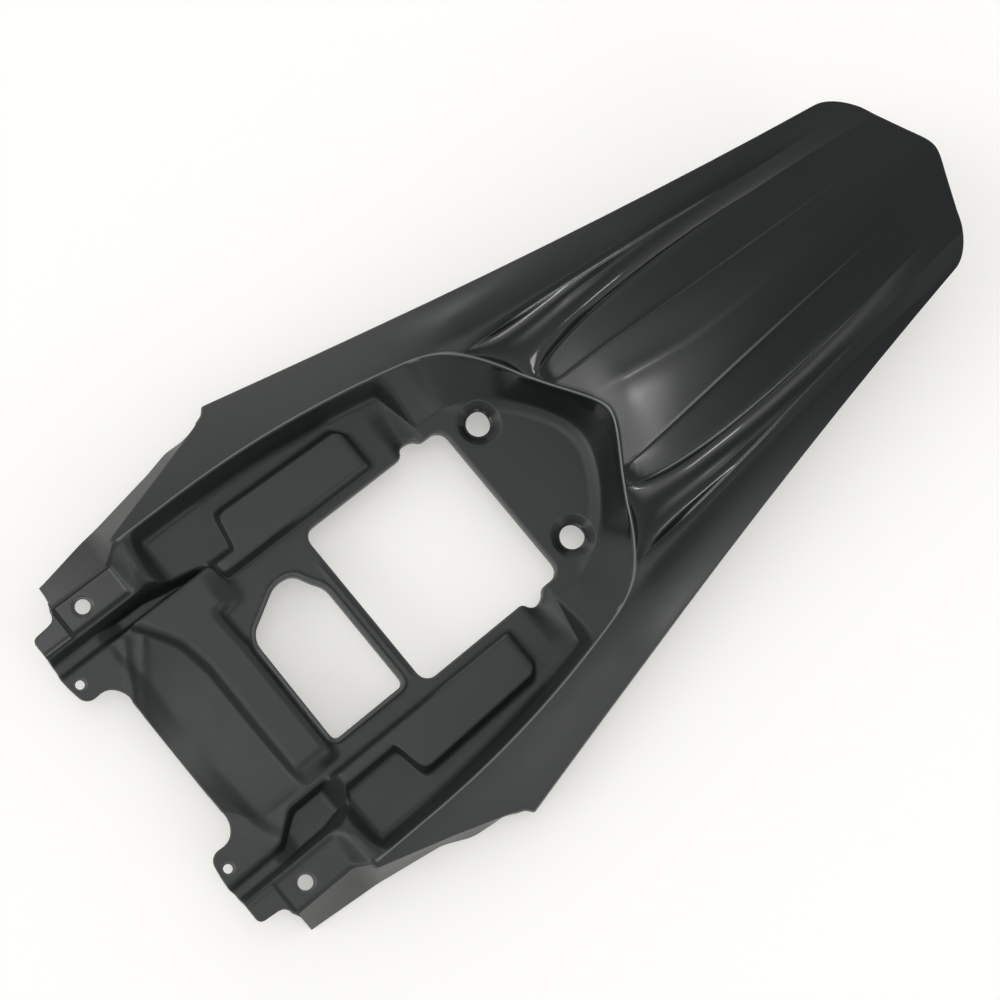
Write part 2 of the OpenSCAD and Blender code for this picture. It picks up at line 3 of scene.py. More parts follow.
import bpy
import numpy as np
from bpy.props import FloatProperty, FloatVectorProperty, PointerProperty
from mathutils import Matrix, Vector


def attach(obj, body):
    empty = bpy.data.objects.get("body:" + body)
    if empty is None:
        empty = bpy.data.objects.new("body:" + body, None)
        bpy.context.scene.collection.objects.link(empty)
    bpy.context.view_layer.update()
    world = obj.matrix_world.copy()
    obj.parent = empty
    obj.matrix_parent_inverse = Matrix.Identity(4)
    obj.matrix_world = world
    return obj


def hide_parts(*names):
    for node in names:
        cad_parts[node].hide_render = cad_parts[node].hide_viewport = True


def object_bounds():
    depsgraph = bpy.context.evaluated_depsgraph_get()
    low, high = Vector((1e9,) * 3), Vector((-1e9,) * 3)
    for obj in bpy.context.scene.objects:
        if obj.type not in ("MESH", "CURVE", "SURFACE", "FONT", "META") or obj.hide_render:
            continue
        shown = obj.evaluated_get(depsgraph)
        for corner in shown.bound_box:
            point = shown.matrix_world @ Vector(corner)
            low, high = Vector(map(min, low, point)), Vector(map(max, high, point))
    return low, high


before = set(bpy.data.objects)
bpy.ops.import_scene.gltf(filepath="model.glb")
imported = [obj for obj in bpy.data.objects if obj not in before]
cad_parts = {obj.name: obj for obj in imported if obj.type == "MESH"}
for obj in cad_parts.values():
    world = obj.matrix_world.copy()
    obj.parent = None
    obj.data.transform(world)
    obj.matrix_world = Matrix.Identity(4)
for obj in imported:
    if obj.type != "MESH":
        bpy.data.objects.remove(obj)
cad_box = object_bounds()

bl_info = {
    "name": "Motorcycle rear fender",
    "version": (1, 0, 0),
    "blender": (4, 5, 0),
    "location": "3D View > Sidebar > Fender",
    "description": "Moulded rear fender with a seat deck, a rim, side wings and a crowned tail",
    "category": "Add Mesh",
}

MM = 0.001

# Lanes that run from the deck out to the rim, as in the part's source
FLOOR, PAD_FOOT_IN, PAD_TOP_IN, PAD_TOP_OUT, PAD_FOOT_OUT, FOOT, LIP, RIM = range(8)


# Fixed measures in mm, as in the part's source: lengths from the deck bolts, half widths, and heights

WALL = 2.6
FLOOR_HALF, PAD_IN, PAD_OUT, PAD_TAPER, NECK, PAD_DRAFT = 68.0, 73.5, 115.0, 3.0, 89.0, 3.5
PAD_REAR, PAD_STEP, PAD_FRONT_L, PAD_FRONT_R = 80.0, 191.0, 209.0, 236.0
GROOVE_X, GROOVE_HALF, GROOVE_D = 50.5, 10.5, 7.0
WIN_REAR, WIN_L, WIN_W, WIN_R = 23.5, 124.5, 133.0, 9.0
PORT_REAR, PORT_L, PORT_LEFT, PORT_RIGHT = 160.0, 62.0, 51.0, 57.5
BOLT_Y, BOLT_R, EAR_X, EAR_Y, EAR_R = 52.0, 8.8, 329.0, 78.5, 3.2
RAIL_HOLE_X, RAIL_HOLE_Y, RAIL_HOLE_R = 296.0, 118.0, 5.2
TURN_X, RIM_HALF, RIM_TURN, RIM_REAR, RIM_BEND, LIP_IN = -20.0, 137.3, 114.0, 70.0, 205.0, 1.5
SIDE_RUN, REAR_RUN = 8.0, 17.0
WING_HALF, WING_FRONT, WING_H = 181.0, 145.0, -4.0
TAIL_HALF, TAIL_VEE, STEP_H, PANEL_D, FOLD_H = 79.0, 46.0, 2.5, 1.3, 1.7
NOSE_X, RAIL_END, WELL_X, SADDLE_X, SADDLE_SAG = 337.0, 266.0, 240.0, 309.0, 9.0
BLOCK_FRONT, BLOCK_REAR, BLOCK_HALF, BLOCK_REACH = 258.0, 224.0, 57.0, 24.0
TROUGH_X, TROUGH_D, TROUGH_DIP = 292.0, 12.0, -2.5
RAIL_IN, RAIL_OUT, RAIL_H, RAIL_PAD_D = 103.0, 131.0, 10.0, 1.5
SKIRT_H, SKIRT_HALF, SKIRT_REAR = -32.0, 146.0, 171.5
RAMP_X, RAMP_FOOT = -GROOVE_X + GROOVE_HALF + 2, FLOOR_HALF + 9
RAIL_X, RIM_X, FOLD_X = -RAIL_END, -RAIL_END + 10, -RAIL_END + 18
SKIRT_X, WING_X, CORNER_X = RIM_X - 2, RIM_X + 2, -WING_FRONT - 18

# Where the rays end that carry the tail's long lines, as shares of the way round the rim
T_SIDE, T_CREASE, T_CROWN, T_FIN = 0.2, 0.28, 0.58, 0.66

# Relief on the tail: from and to which x the fold rises, and the fold, the panels and the tongues fade out
FOLD_START, FOLD_FADE, PANEL_FADE = (66, 90), (170, 330), (200, 330)
TONGUE_X, TONGUE_FADE = 110, (130, 230)

# Folds and beads: two ends in plan, half width and height
BAR_X = -152.8
FOLDS = [(((-288, 84), (-307, 51)), 2.2, 1.1), (((-277, 78), (-305, 41)), 2.2, 1.0),
         (((-305, -39), (-291, -84)), 4.5, 1.3), (((BAR_X, -53), (BAR_X, 40)), 1.2, 0.9)]


# Plain sums on whole arrays

def mix(a, b, t):
    """a + (b - a) times t."""
    return a + (b - a) * t


def unit(v):
    """Vectors divided by their lengths."""
    return v / np.maximum(np.linalg.norm(v, axis=-1, keepdims=True), 1e-9)


def bezier(a, b, c, d, t):
    """Cubic curve: the four points weighted by (1-t)^3, 3t(1-t)^2, 3t^2(1-t) and t^3."""
    return a * (1 - t) ** 3 + b * 3 * t * (1 - t) ** 2 + c * 3 * t * t * (1 - t) + d * t ** 3


def steps(x, knots):
    """Straight lines between the knots, level outside them."""
    at, value = np.array(knots, float).T
    return np.interp(x, at, value)


def ease(x, knots, run=2.0):
    """The same straight lines averaged over a run either side of x, so each knot is a soft bend."""
    shift = np.linspace(-run, run, 9)
    return steps(np.asarray(x, float)[..., None] + shift, knots).mean(-1)


def smooth_step(x, start, stop):
    """3u^2 - 2u^3, where u runs from 0 at start to 1 at stop."""
    u = np.clip((x - start) / (stop - start), 0, 1)
    return u * u * (3 - 2 * u)


def fade(x, start, stop):
    """1 less the smooth step: 1 up to start and 0 from stop on."""
    return 1 - smooth_step(x, start, stop)


def spread(start, stop, spots, fine, coarse, reach):
    """Stations from start to stop whose spacing falls from coarse to fine near the spots: equal steps of
    the running sum of a density that is 1 / coarse plus a bell of height 1 / fine at each spot."""
    x = np.linspace(start, stop, 6000)
    near = np.max([np.exp(-((x - s) / reach) ** 4) for s in spots], axis=0)
    density = 1 / coarse + near / fine
    total = np.concatenate([[0], np.cumsum((density[1:] + density[:-1]) / 2 * np.diff(x))])
    return np.interp(np.linspace(0, total[-1], int(round(total[-1])) + 1), total, x)


def rounded_outline(corners, cuts, arc=6):
    """Closed outline whose corners are cubic arcs: each starts and ends a cut's length from its corner
    and its handles reach 0.55 of the way to it."""
    p = np.array(corners, float)
    before, after = unit(np.roll(p, 1, 0) - p), unit(np.roll(p, -1, 0) - p)
    cut = np.array(cuts, float)[:, None]
    a, d = (p + before * cut)[:, None], (p + after * cut)[:, None]
    t = np.linspace(0, 1, arc)[None, :, None]
    return bezier(a, mix(a, p[:, None], 0.55), mix(d, p[:, None], 0.55), d, t).reshape(-1, 2)


def outline_distance(points, outline):
    """Least distance from plan points to the outline's straight pieces, negative where a ray along x
    crosses the outline an odd number of times."""
    a, b = outline, np.roll(outline, -1, axis=0)
    p, e = points[:, None, :] - a, b - a
    along = np.clip((p * e).sum(-1) / np.maximum((e * e).sum(-1), 1e-12), 0, 1)
    near = np.linalg.norm(p - e * along[..., None], axis=-1).min(1)
    x, y = points[:, 0:1], points[:, 1:2]
    rise = np.where(np.abs(e[:, 1]) < 1e-9, 1e-9, e[:, 1])
    crossing = ((a[:, 1] > y) != (b[:, 1] > y)) & (x < e[:, 0] * (y - a[:, 1]) / rise + a[:, 0])
    return np.where(crossing.sum(1) % 2 == 1, -near, near)


def line_distance(x, y, line):
    """Distance in plan from each point to the nearest point of a straight line between two ends."""
    (x0, y0), (x1, y1) = line
    length = (x1 - x0) ** 2 + (y1 - y0) ** 2
    along = np.clip(((x - x0) * (x1 - x0) + (y - y0) * (y1 - y0)) / length, 0, 1)
    return np.hypot(x - x0 - along * (x1 - x0), y - y0 - along * (y1 - y0))


def soft_least(a, b, blend):
    """The lesser of two distances, with the corner where they meet rounded over the blend's width."""
    h = np.clip(blend - np.abs(a - b), 0, None) / blend
    return np.minimum(a, b) - h * h * blend / 4


class Moulding:
    """The fender's upper face as rows of lanes, and what is cut from it. Places ahead of the deck bolts are
    held as lengths, and get their sign where they are used."""

    def __init__(self, size):
        mm = lambda name: getattr(size, name) / MM
        self.pad_h, self.rim_h, self.chan_d = mm("pad_height"), mm("rim_height"), mm("channel_depth")
        self.tail_l, self.tail_h, self.block_h = mm("tail_length"), mm("tail_height"), mm("block_height")
        self.rim_turn_h, self.rim_rear_h = self.rim_h + 4, self.rim_h + 12
        self.corner_h, self.tail_side_x = self.tail_h - 11, self.tail_l - TAIL_VEE

    # Rim line, wing edge and the tail's long lines

    def rim_y(self, x):
        """Level ahead of the bend, then drawn in by the square of the way to the turn."""
        way = np.maximum(0, (x + RIM_BEND) / (TURN_X + RIM_BEND))
        return RIM_HALF - (RIM_HALF - RIM_TURN) * way ** 2

    def edge_y(self, x):
        """Soft straight steps to the wing's front corner, then one cubic to the tail's corner."""
        front = ease(x, [[WING_X, RIM_HALF + 4], [-200, WING_HALF - 23],
                         [CORNER_X, WING_HALF - 10.5], [-WING_FRONT - 5, WING_HALF - 5.5],
                         [-WING_FRONT, WING_HALF]], 1.0)
        t = np.clip((x + WING_FRONT) / (self.tail_side_x + WING_FRONT), 0, 1)
        rear = bezier(WING_HALF, WING_HALF - 38.5, TAIL_HALF + 27, TAIL_HALF, t)
        return np.where(x < -WING_FRONT, front, rear)

    @staticmethod
    def rise(x, x0, h0, x1, h1, bow):
        """Straight climb from h0 to h1 with a parabola of the bow's height added."""
        u = (x - x0) / (x1 - x0)
        return mix(h0, h1, u) + bow * 4 * u * (1 - u)

    def edge_z(self, x):
        """Height of the wing's edge. This and the next three are straight climbs with a parabola in them."""
        return self.rise(np.maximum(x, -WING_FRONT), -WING_FRONT, WING_H,
                         self.tail_side_x, self.corner_h, -4)

    def crease_z(self, x):
        return self.rise(x, 13, self.rim_turn_h + 1, self.tail_l - 23, self.corner_h + 2, -5)

    def crown_z(self, x):
        return self.rise(x, 43, self.rim_rear_h - 3.5, self.tail_l - 16, self.tail_h - 6.5, 3)

    def spine_z(self, x):
        return self.rise(x, RIM_REAR, self.rim_rear_h, self.tail_l, self.tail_h, 6)

    def fin_z(self, x):
        """Height between the crown's edge and the spine, by a share that falls along the tail."""
        return mix(self.crown_z(x), self.spine_z(x), mix(0.8, 0.54, np.maximum(x, 0) / self.tail_l))

    # The straight part of the shell, ahead of the rim's turn

    def lane_y(self, j, x, left):
        """Distance from the middle of lane j at x."""
        f = -(PAD_FRONT_L if left else PAD_FRONT_R)
        neck, step, trough = NECK, -PAD_STEP, -TROUGH_X
        if j == FLOOR:
            y = ease(x, [[-SADDLE_X, FLOOR_HALF - 22], [trough, FLOOR_HALF]])
        elif j == PAD_FOOT_IN:
            y = (ease(x, [[f - 4, neck - 1], [f, PAD_IN]]) if left
                 else ease(x, [[trough, neck - 1], [trough + 18, PAD_IN]]))
        elif j == PAD_TOP_IN:
            y = (ease(x, [[f - 4, neck + 2], [f, PAD_IN + PAD_DRAFT]]) if left
                 else ease(x, [[trough, neck + 3], [trough + 20, PAD_IN + 4], [f, PAD_IN + PAD_DRAFT]]))
        elif j == PAD_TOP_OUT:
            y = ease(x, [[trough - 8, RAIL_IN - 4], [RAIL_X + 4, RAIL_IN - 5],
                         [-WELL_X, neck + 4], [f, neck - PAD_DRAFT], [step - 1.5, neck - PAD_DRAFT],
                         [step + 2.5, PAD_OUT - PAD_DRAFT - 3], [step + 7, PAD_OUT - PAD_DRAFT],
                         [-PAD_REAR - 9, PAD_OUT - PAD_TAPER - PAD_DRAFT],
                         [-PAD_REAR, PAD_OUT - PAD_TAPER - 12]], 1.5)
        elif j == PAD_FOOT_OUT:
            y = ease(x, [[RAIL_X + 4, RAIL_IN], [RIM_X + 2, RAIL_IN + 1],
                         [-WELL_X, neck + 8], [f, neck + 1], [step - 2, neck], [step + 1.5, PAD_OUT - 2],
                         [step + 6, PAD_OUT], [-PAD_REAR - 8, PAD_OUT - PAD_TAPER],
                         [-PAD_REAR, PAD_OUT - PAD_TAPER - 8]], 1.5)
        elif j == FOOT:
            y = ease(x, [[RAIL_X + 4, RAIL_IN + 4], [RIM_X, RAIL_IN + 8],
                         [FOLD_X, RAIL_IN + 10], [-WELL_X, RIM_HALF - SIDE_RUN]])
            y = np.where(x < -RIM_BEND, y, self.rim_y(x) - SIDE_RUN)
        elif j == LIP:
            y = ease(x, [[RAIL_X + 1, RAIL_OUT - 3], [RIM_X, RIM_HALF - 3],
                         [-WELL_X, RIM_HALF - LIP_IN]])
            y = np.where(x < -RIM_BEND, y, self.rim_y(x) - LIP_IN)
        else:
            y = ease(x, [[RAIL_X, RAIL_OUT], [RIM_X, RIM_HALF]])
            y = np.where(x < -RIM_BEND, y, self.rim_y(x))
        if j > FOOT:
            return y
        ramp = np.clip((x - RAMP_X + GROOVE_HALF * 0.7) / (GROOVE_HALF * 0.7), 0, 1)
        return mix(y, mix(FLOOR_HALF, RAMP_FOOT, j / FOOT), ramp)

    def lane_z(self, j, x, left):
        """Height over the deck of lane j at x, without the groove."""
        f = -(PAD_FRONT_L if left else PAD_FRONT_R)
        trough, low, dip = -TROUGH_X, RAIL_H - RAIL_PAD_D, TROUGH_DIP
        front, rear = -BLOCK_FRONT, -BLOCK_REAR
        block_h = self.block_h
        if j == FLOOR:
            return (ease(x, [[-SADDLE_X + 9, 0], [trough, dip], [front, dip], [front + 4, block_h],
                             [rear + 2, block_h], [rear + 18, 0]], 1.2) if left
                    else ease(x, [[-SADDLE_X + 9, 0], [trough, dip], [trough + 18, 0]]))
        if j == PAD_FOOT_IN:
            return (ease(x, [[front, 0], [front + 4, block_h], [f - 3, block_h], [f + 1, 0]], 1.6) if left
                    else 0 * x)
        if j <= PAD_TOP_OUT:
            return ease(x, [[trough - 8, -3], [trough + 8, -TROUGH_D], [f - 12, -TROUGH_D], [f - 5, 0],
                            [f + 1, self.pad_h], [-PAD_REAR - 4, self.pad_h], [-PAD_REAR, 0]], 2.0)
        if j == PAD_FOOT_OUT:
            return ease(x, [[RAIL_X + 4, RAIL_H], [RIM_X + 1, RAIL_H + 3],
                            [FOLD_X - 1, RAIL_H + 3], [-WELL_X, 0]], 3.5)
        if j == FOOT:
            return ease(x, [[RAIL_X + 2, low], [RIM_X, RAIL_H + 8], [FOLD_X, RAIL_H + 8],
                            [-WELL_X, 0]], 3.0)
        if j == LIP:
            return ease(x, [[RAIL_X + 1, low], [RIM_X, self.rim_h - LIP_IN],
                            [TURN_X, self.rim_turn_h - LIP_IN]], 1.2)
        return ease(x, [[RAIL_X, RAIL_H], [RIM_X, self.rim_h], [TURN_X, self.rim_turn_h]], 2.0)

    def groove(self, j, x):
        """A rounded vee across x, times the share of its depth that lane j has."""
        share = [1, 1, 0.95, 0.15, 0.05, 0, 0, 0][j]
        at = -GROOVE_X
        return share * GROOVE_D * ease(x, [[at - GROOVE_HALF, 0], [at - 2, 1], [at + 2, 1],
                                                [at + GROOVE_HALF, 0]], 2.0)

    def bent(self, x, y):
        """The block's curved front: x moves forward by a reach that grows with y on the left, and
        fades out ahead of the block and behind it."""
        reach = BLOCK_REACH * ease(y, [[34, 0], [BLOCK_HALF, 0.17], [FLOOR_HALF, 0.42], [NECK, 1]], 3)
        return x - reach * steps(x, [[-SADDLE_X + 9, 0], [-BLOCK_FRONT, 1], [-BLOCK_FRONT + 4, 1],
                                     [-BLOCK_REAR + 4, 0]])

    def straight_lanes(self, x, left):
        """Lane points at each x, as an array of rows, lanes and xyz."""
        out = []
        for j in range(8):
            y = self.lane_y(j, x, left)
            along = self.bent(x, y) if left and j <= PAD_FOOT_IN else x
            out.append(np.stack([along, y, self.lane_z(j, x, left) - self.groove(j, x)], -1))
        return np.stack(out, 1)

    def skirt_y(self, x, left):
        """Half width of the skirt's edge: soft straight steps, a little wider on the left."""
        near, far = SKIRT_HALF + 3.5 * left, SKIRT_REAR
        line = ease(x, [[-SADDLE_X, near], [RIM_X, near + 5], [-RIM_BEND, mix(near + 5, far, 0.42)],
                        [-RIM_BEND + 20, mix(near, far, 0.9)], [-RIM_BEND + 40, far]], 4)
        return line + left * ease(x, [[-SADDLE_X, 0], [-270, 3.0], [-205, 4.5], [-172, 0]], 6)

    def skirt_z(self, x, left):
        """The left skirt lies flatter than the right one, and rises towards the wing."""
        return SKIRT_H + left * ease(x, [[-SADDLE_X, 18], [-262, 22], [-RIM_BEND, 26], [-175, 24]], 6)

    def straight_outer(self, x, s, left):
        """Skirt beside the rails and wing behind them: a straight line down to the skirt's edge, or the
        wing's slope with a bow of 6s(1-s) in it."""
        x, s = x[:, None] + 0 * s, s + 0 * x[:, None]
        r, z0 = self.lane_y(RIM, x, True), self.lane_z(RIM, x, True)
        share = s * steps(x, [[RAIL_X, 0.5], [SKIRT_X, 0.12]])
        skirt = np.stack([x, mix(r, self.skirt_y(x, left), share),
                          mix(z0, self.skirt_z(x, left), share)], -1)
        y = mix(r, self.edge_y(x), s)
        full = np.where(x < -WING_FRONT, WING_HALF, self.edge_y(x))
        way = (y - r) / (full - r)
        wing = np.stack([x, y, mix(z0, self.edge_z(x), way) + 6 * way * (1 - way)], -1)
        return mix(skirt, wing, smooth_step(x, SKIRT_X, WING_X)[..., None])

    def hem(self, rim_side, edge, x, left):
        """Lower edge of the turned-down hem: the skirt's edge ahead of the wing's corner, and a short
        fall square to the wing's edge behind it."""
        out = unit((edge - rim_side) * [1, 1, 0])
        short = edge + out * 1.15 + np.array([0, 0, -4.1])
        long = np.stack([x, self.skirt_y(x, left) - 0.4, self.skirt_z(x, left) + 0.9], -1)
        return mix(long, short, smooth_step(x, CORNER_X, CORNER_X + 7)[:, None])

    # The rear part, on rays that leave the rim's turn

    @staticmethod
    def foot_curve(t, y, handle, end, drawn):
        """Cubic that leaves the turn level at y and comes square to the middle line at the end."""
        knots = np.array([[TURN_X, y], [handle, y], [end, drawn], [end, 0]])
        return bezier(*knots[:, None], t[:, None])

    def rim_line(self, t):
        """Two cubics that meet on the rim's flank with one slope."""
        mid = np.array([RIM_REAR - 34, 62.0])
        t = t[:, None]
        first = bezier(np.array([TURN_X, RIM_TURN]), np.array([TURN_X + 24, RIM_TURN - 6]),
                       mid + [-16, 32], mid, np.clip(2 * t, 0, 1))
        second = bezier(mid, mid + [13.5, -27], np.array([RIM_REAR, 13]), np.array([RIM_REAR, 0]),
                        np.clip(2 * t - 1, 0, 1))
        return np.where(t < 0.5, first, second)

    def tail_line(self, t):
        """The wing's edge to the tail's corner, round it, and along the vee of the rear edge."""
        corner = np.array([self.tail_l - 23, TAIL_HALF - 18])
        crown = np.array([self.tail_l - 16.5, TAIL_HALF - 33.5])
        fin = np.array([self.tail_l - 7.3, 22.5])
        side, tip = np.array([self.tail_side_x, TAIL_HALF]), np.array([self.tail_l, 0.0])
        part = lambda a, b: np.clip((t - a) / (b - a), 0, 1)[:, None]
        x = mix(TURN_X, self.tail_side_x, part(0, T_SIDE)[:, 0])
        edge = np.stack([x, self.edge_y(x)], -1)
        turn = bezier(side, side + [9, -1.5], corner + [-5, 7.5], corner, part(T_SIDE, T_CREASE))
        rear = bezier(corner, corner + [3.3, -5], crown + [-2, 5], crown, part(T_CREASE, T_CROWN))
        flat = mix(crown, fin, part(T_CROWN, T_FIN))
        last = bezier(fin, fin + [4.5, -11], tip + [0, 6], tip, part(T_FIN, 1))
        t = t[:, None]
        return np.where(t <= T_SIDE, edge, np.where(t <= T_CREASE, turn, np.where(
            t <= T_CROWN, rear, np.where(t <= T_FIN, flat, last))))

    def ray_plan(self, t, s):
        """Each ray is a cubic from the rim to the tail's edge. Its handles lie on the straight line at
        the side and move to those of the crease, the crown, the fin and the spine."""
        r, o = self.rim_line(t)[:, None], self.tail_line(t)[:, None]
        at = [T_CREASE, T_CROWN, T_FIN, 1]
        handle = lambda xs, ys: np.stack([np.interp(t, at, xs), np.interp(t, at, ys)], -1)[:, None]
        near = handle([90, 100, 110, 175], [93, 73, 36, 0])
        far = handle([250, 240, 250, 280], [70, 61, 24, 0])
        w = (np.clip(t / T_CREASE, 0, 1) ** 2)[:, None, None]
        near, far = mix(mix(r, o, 1 / 3), near, w), mix(mix(r, o, 2 / 3), far, w)
        return bezier(r, near, far, o, s[None, :, None])

    def ray_z(self, t, s, plan):
        """Heights of the edge, crease, crown, fin and spine at the point's x, blended across the rays,
        with the channel's parabola cut between the crease and the crown."""
        x = plan[..., 0]
        r, o = self.rim_line(t)[:, None], self.tail_line(t)[:, None]
        t, s = t[:, None] + 0 * x, s[None, :] + 0 * x
        w = np.clip(t / T_CREASE, 0, 1)
        flank = mix(self.rim_turn_h + w, self.edge_z(o[..., 0]), s) + 6 * s * (1 - s)
        side = mix(flank, self.crease_z(x), w * w)
        v = np.clip((t - T_CREASE) / (T_CROWN - T_CREASE), 0, 1)
        run = np.maximum(0, x - r[..., 0])
        grow = 1 - np.exp(-run / 10)
        cut = 4 * v * (1 - v) * self.chan_d * grow * np.maximum(0, 1 - run / 280) ** 1.5
        cut = cut + STEP_H * grow * np.maximum(0, 1 - x / 270) * v * fade(v, 0.94, 1)
        channel = mix(self.crease_z(x), self.crown_z(x), v) - cut
        fin = mix(self.crown_z(x), self.fin_z(x), np.clip((t - T_CROWN) / (T_FIN - T_CROWN), 0, 1))
        q = np.clip((t - T_FIN) / (1 - T_FIN), 0, 1)
        spine = mix(self.fin_z(x), self.spine_z(x), 1 - (1 - q) ** 2)
        return np.select([t < T_CREASE, t < T_CROWN, t < T_FIN], [side, channel, fin], spine)

    def ray_lanes(self, t):
        """Lane points on each ray, from the deck's floor to the rim. The floor bends up towards the wall's
        foot by the square of the way to it."""
        end = RIM_REAR - REAR_RUN
        a, f = self.foot_curve(t, FLOOR_HALF, 5, end - 9, 26), self.foot_curve(t, RAMP_FOOT, 10, end, 30)
        r = self.rim_line(t)
        top = self.ray_z(t, np.array([0.0]), r[:, None])
        bend = 3.5 * smooth_step(t, 0.05, 0.35)[:, None]
        shares = [j / FOOT for j in range(FOOT + 1)]
        plan = [mix(a, f, u) for u in shares] + [mix(f, r, 0.92), r]
        height = [bend * u ** 2 for u in shares] + [top * 0.95, top]
        return np.stack([np.concatenate(pair, -1) for pair in zip(plan, height)], 1)

    def ray_outer(self, t, s):
        """Points of the rays from the rim to the tail's edge, at the shares s of the way."""
        plan = self.ray_plan(t, s)
        return np.concatenate([plan, self.ray_z(t, s, plan)[..., None]], -1)

    # The middle of the deck, with the cross block and the saddle

    def middle(self, x, y_edge, share):
        """Flat floor, with the block's soft-edged plateau and the saddle's parabola ahead of it."""
        x, y_edge = x[:, None] + 0 * share, y_edge[:, None]
        y = y_edge * share
        block_end = ease(y, [[-FLOOR_HALF, 0], [-BLOCK_HALF, 1]], 1.5)
        front, rear = -BLOCK_FRONT, -BLOCK_REAR
        over_left = smooth_step(y, BLOCK_HALF, BLOCK_HALF + 3)
        rear_fall = mix(ease(x, [[rear - 5, 1], [rear, 0]], 1.2),
                        ease(x, [[rear + 2, 1], [rear + 18, 0]], 1.2), over_left)
        plateau = ease(x, [[front, 0], [front + 4, 1]], 1.2) * rear_fall * block_end
        sag = SADDLE_SAG * (1 - share ** 2) * ease(x, [[-SADDLE_X, 1], [front, 0.6], [front + 4, 0]])
        dip = [[-SADDLE_X + 9, 0], [-TROUGH_X, TROUGH_DIP]]
        right_brim = ease(x, dip) * ease(x, [[-TROUGH_X, 1], [front, 0]], 1)
        left_brim = ease(x, dip + [[front, TROUGH_DIP], [front + 4, 0]])
        z = mix(np.where(share > 0, left_brim, right_brim) * np.abs(share) - sag, self.block_h, plateau)
        return np.stack([self.bent(x, y), y, z], -1)

    # What is cut from the shell: each cut has a distance in plan, a margin and an edge profile

    def window(self, p):
        """Distance outside the large window: a box with rounded corners, joined with a notch at each end
        of the groove."""
        box = np.abs(p - [-WIN_REAR - WIN_L / 2, 0]) - [WIN_L / 2 - WIN_R, WIN_W / 2 - WIN_R]
        d = np.linalg.norm(np.maximum(box, 0), axis=-1) + np.minimum(box.max(-1), 0) - WIN_R
        notch = np.hypot(p[:, 0] + GROOVE_X, np.abs(p[:, 1]) - WIN_W / 2 + 2) - WIN_R
        return soft_least(d, notch, 2.0)

    def port(self, p):
        """Distance outside the small window, whose left side is drawn in."""
        x = -PORT_REAR
        corners = [[x, -PORT_RIGHT], [x, PORT_LEFT - 23], [x - 6, PORT_LEFT - 14],
                   [x - 12, PORT_LEFT - 2], [x - 26, PORT_LEFT], [x - PORT_L + 1, PORT_LEFT - 20],
                   [x - PORT_L, -PORT_RIGHT]]
        return outline_distance(p, rounded_outline(corners, [5, 5, 3, 5, 6, 9, 5]))

    def front_outline(self, p):
        """Distance outside the material ahead of the deck: saddle edge, ears, noses and skirt ends."""
        n, s = -NOSE_X + 1.1, -SADDLE_X
        half = [[s, 57], [s - 9, 66], [n + 2, 64], [n - 1, 84], [n - 1, RAIL_IN - 12], [n, RAIL_IN - 9],
                [n, RAIL_OUT - 11], [n + 18, RAIL_OUT - 9.5], [n + 23, RAIL_OUT], [n + 26, 145],
                [n + 26, 170]]
        cuts = [6, 5, 8, 5, 1, 1.5, 4, 3, 4, 2, 1]
        half = np.array(half, float)
        shape = np.concatenate([half, [[-200.0, 170.0], [-200.0, -170.0]], half[::-1] * [1, -1]])
        return -outline_distance(p, rounded_outline(shape, cuts + [1, 1] + cuts[::-1], 5))

    def relief(self, p):
        """Height added to the upper face: each fold or bead is its height times exp(-(d/w)^2), where d is
        the distance from its line and w its half width. The rails' pads get a border along their nose,
        and the tail gets its fold and panels."""
        x, y = p[..., 0], p[..., 1]
        added = 0 * x
        for line, width, height in FOLDS:
            added = added + height * np.exp(-(line_distance(x, y, line) / width) ** 2)
        nose = x < -NOSE_X + 24
        rail = smooth_step(np.abs(y), RAIL_IN + 1, RAIL_IN + 3)
        rail = rail * fade(np.abs(y), RAIL_OUT - 3, RAIL_OUT - 1)
        inside = np.full(x.shape, 9.0)
        inside[nose] = -self.front_outline(np.stack([x[nose], y[nose]], -1))
        added = added + rail * RAIL_PAD_D * fade(inside, 1.4, 3.0)
        return added + self.spine_fold(x, y) + self.panels(x, np.abs(y))

    def spine_fold(self, x, y):
        """A tent along the crown: h exp(-d/w), with its top rounded, that wanders to the left at the rim
        and fades out along the tail."""
        middle = 14 * fade(x, 60, 170)
        far = np.sqrt((y - middle) ** 2 + 4) - 2
        return FOLD_H * np.exp(-far / 13) * smooth_step(x, *FOLD_START) * fade(x, *FOLD_FADE)

    def panels(self, x, y):
        """A sunken panel between the fin and the crown's edge, a short step inside its two lines and
        behind a rounded tip, and a tongue in the channel that starts with a rounded step and fades out
        towards the channel's sides."""
        s = np.linspace(0, 1, 60)
        fin, crown, crease = (self.ray_plan(np.array([t]), s)[0] for t in (T_FIN, T_CROWN, T_CREASE))
        inner, middle, outer = (np.interp(x, line[:, 0], line[:, 1]) for line in (fin, crown, crease))
        tip = x - mix(crown[0, 0], fin[0, 0], 0.5) - 4.5
        leaf = soft_least(soft_least(middle - y, y - inner, 4.0), tip, 6.0)
        across = np.clip((y - middle) / np.maximum(outer - middle, 1), 0, 1)
        start = x - TONGUE_X - 16 * (2 * across - 1) ** 2
        tongue = smooth_step(start, 0, 3) * (4 * across * (1 - across)) ** 0.7
        sunk = PANEL_D * smooth_step(leaf, -0.4, 1.3) * fade(x, *PANEL_FADE)
        return tongue * fade(x, *TONGUE_FADE) - sunk

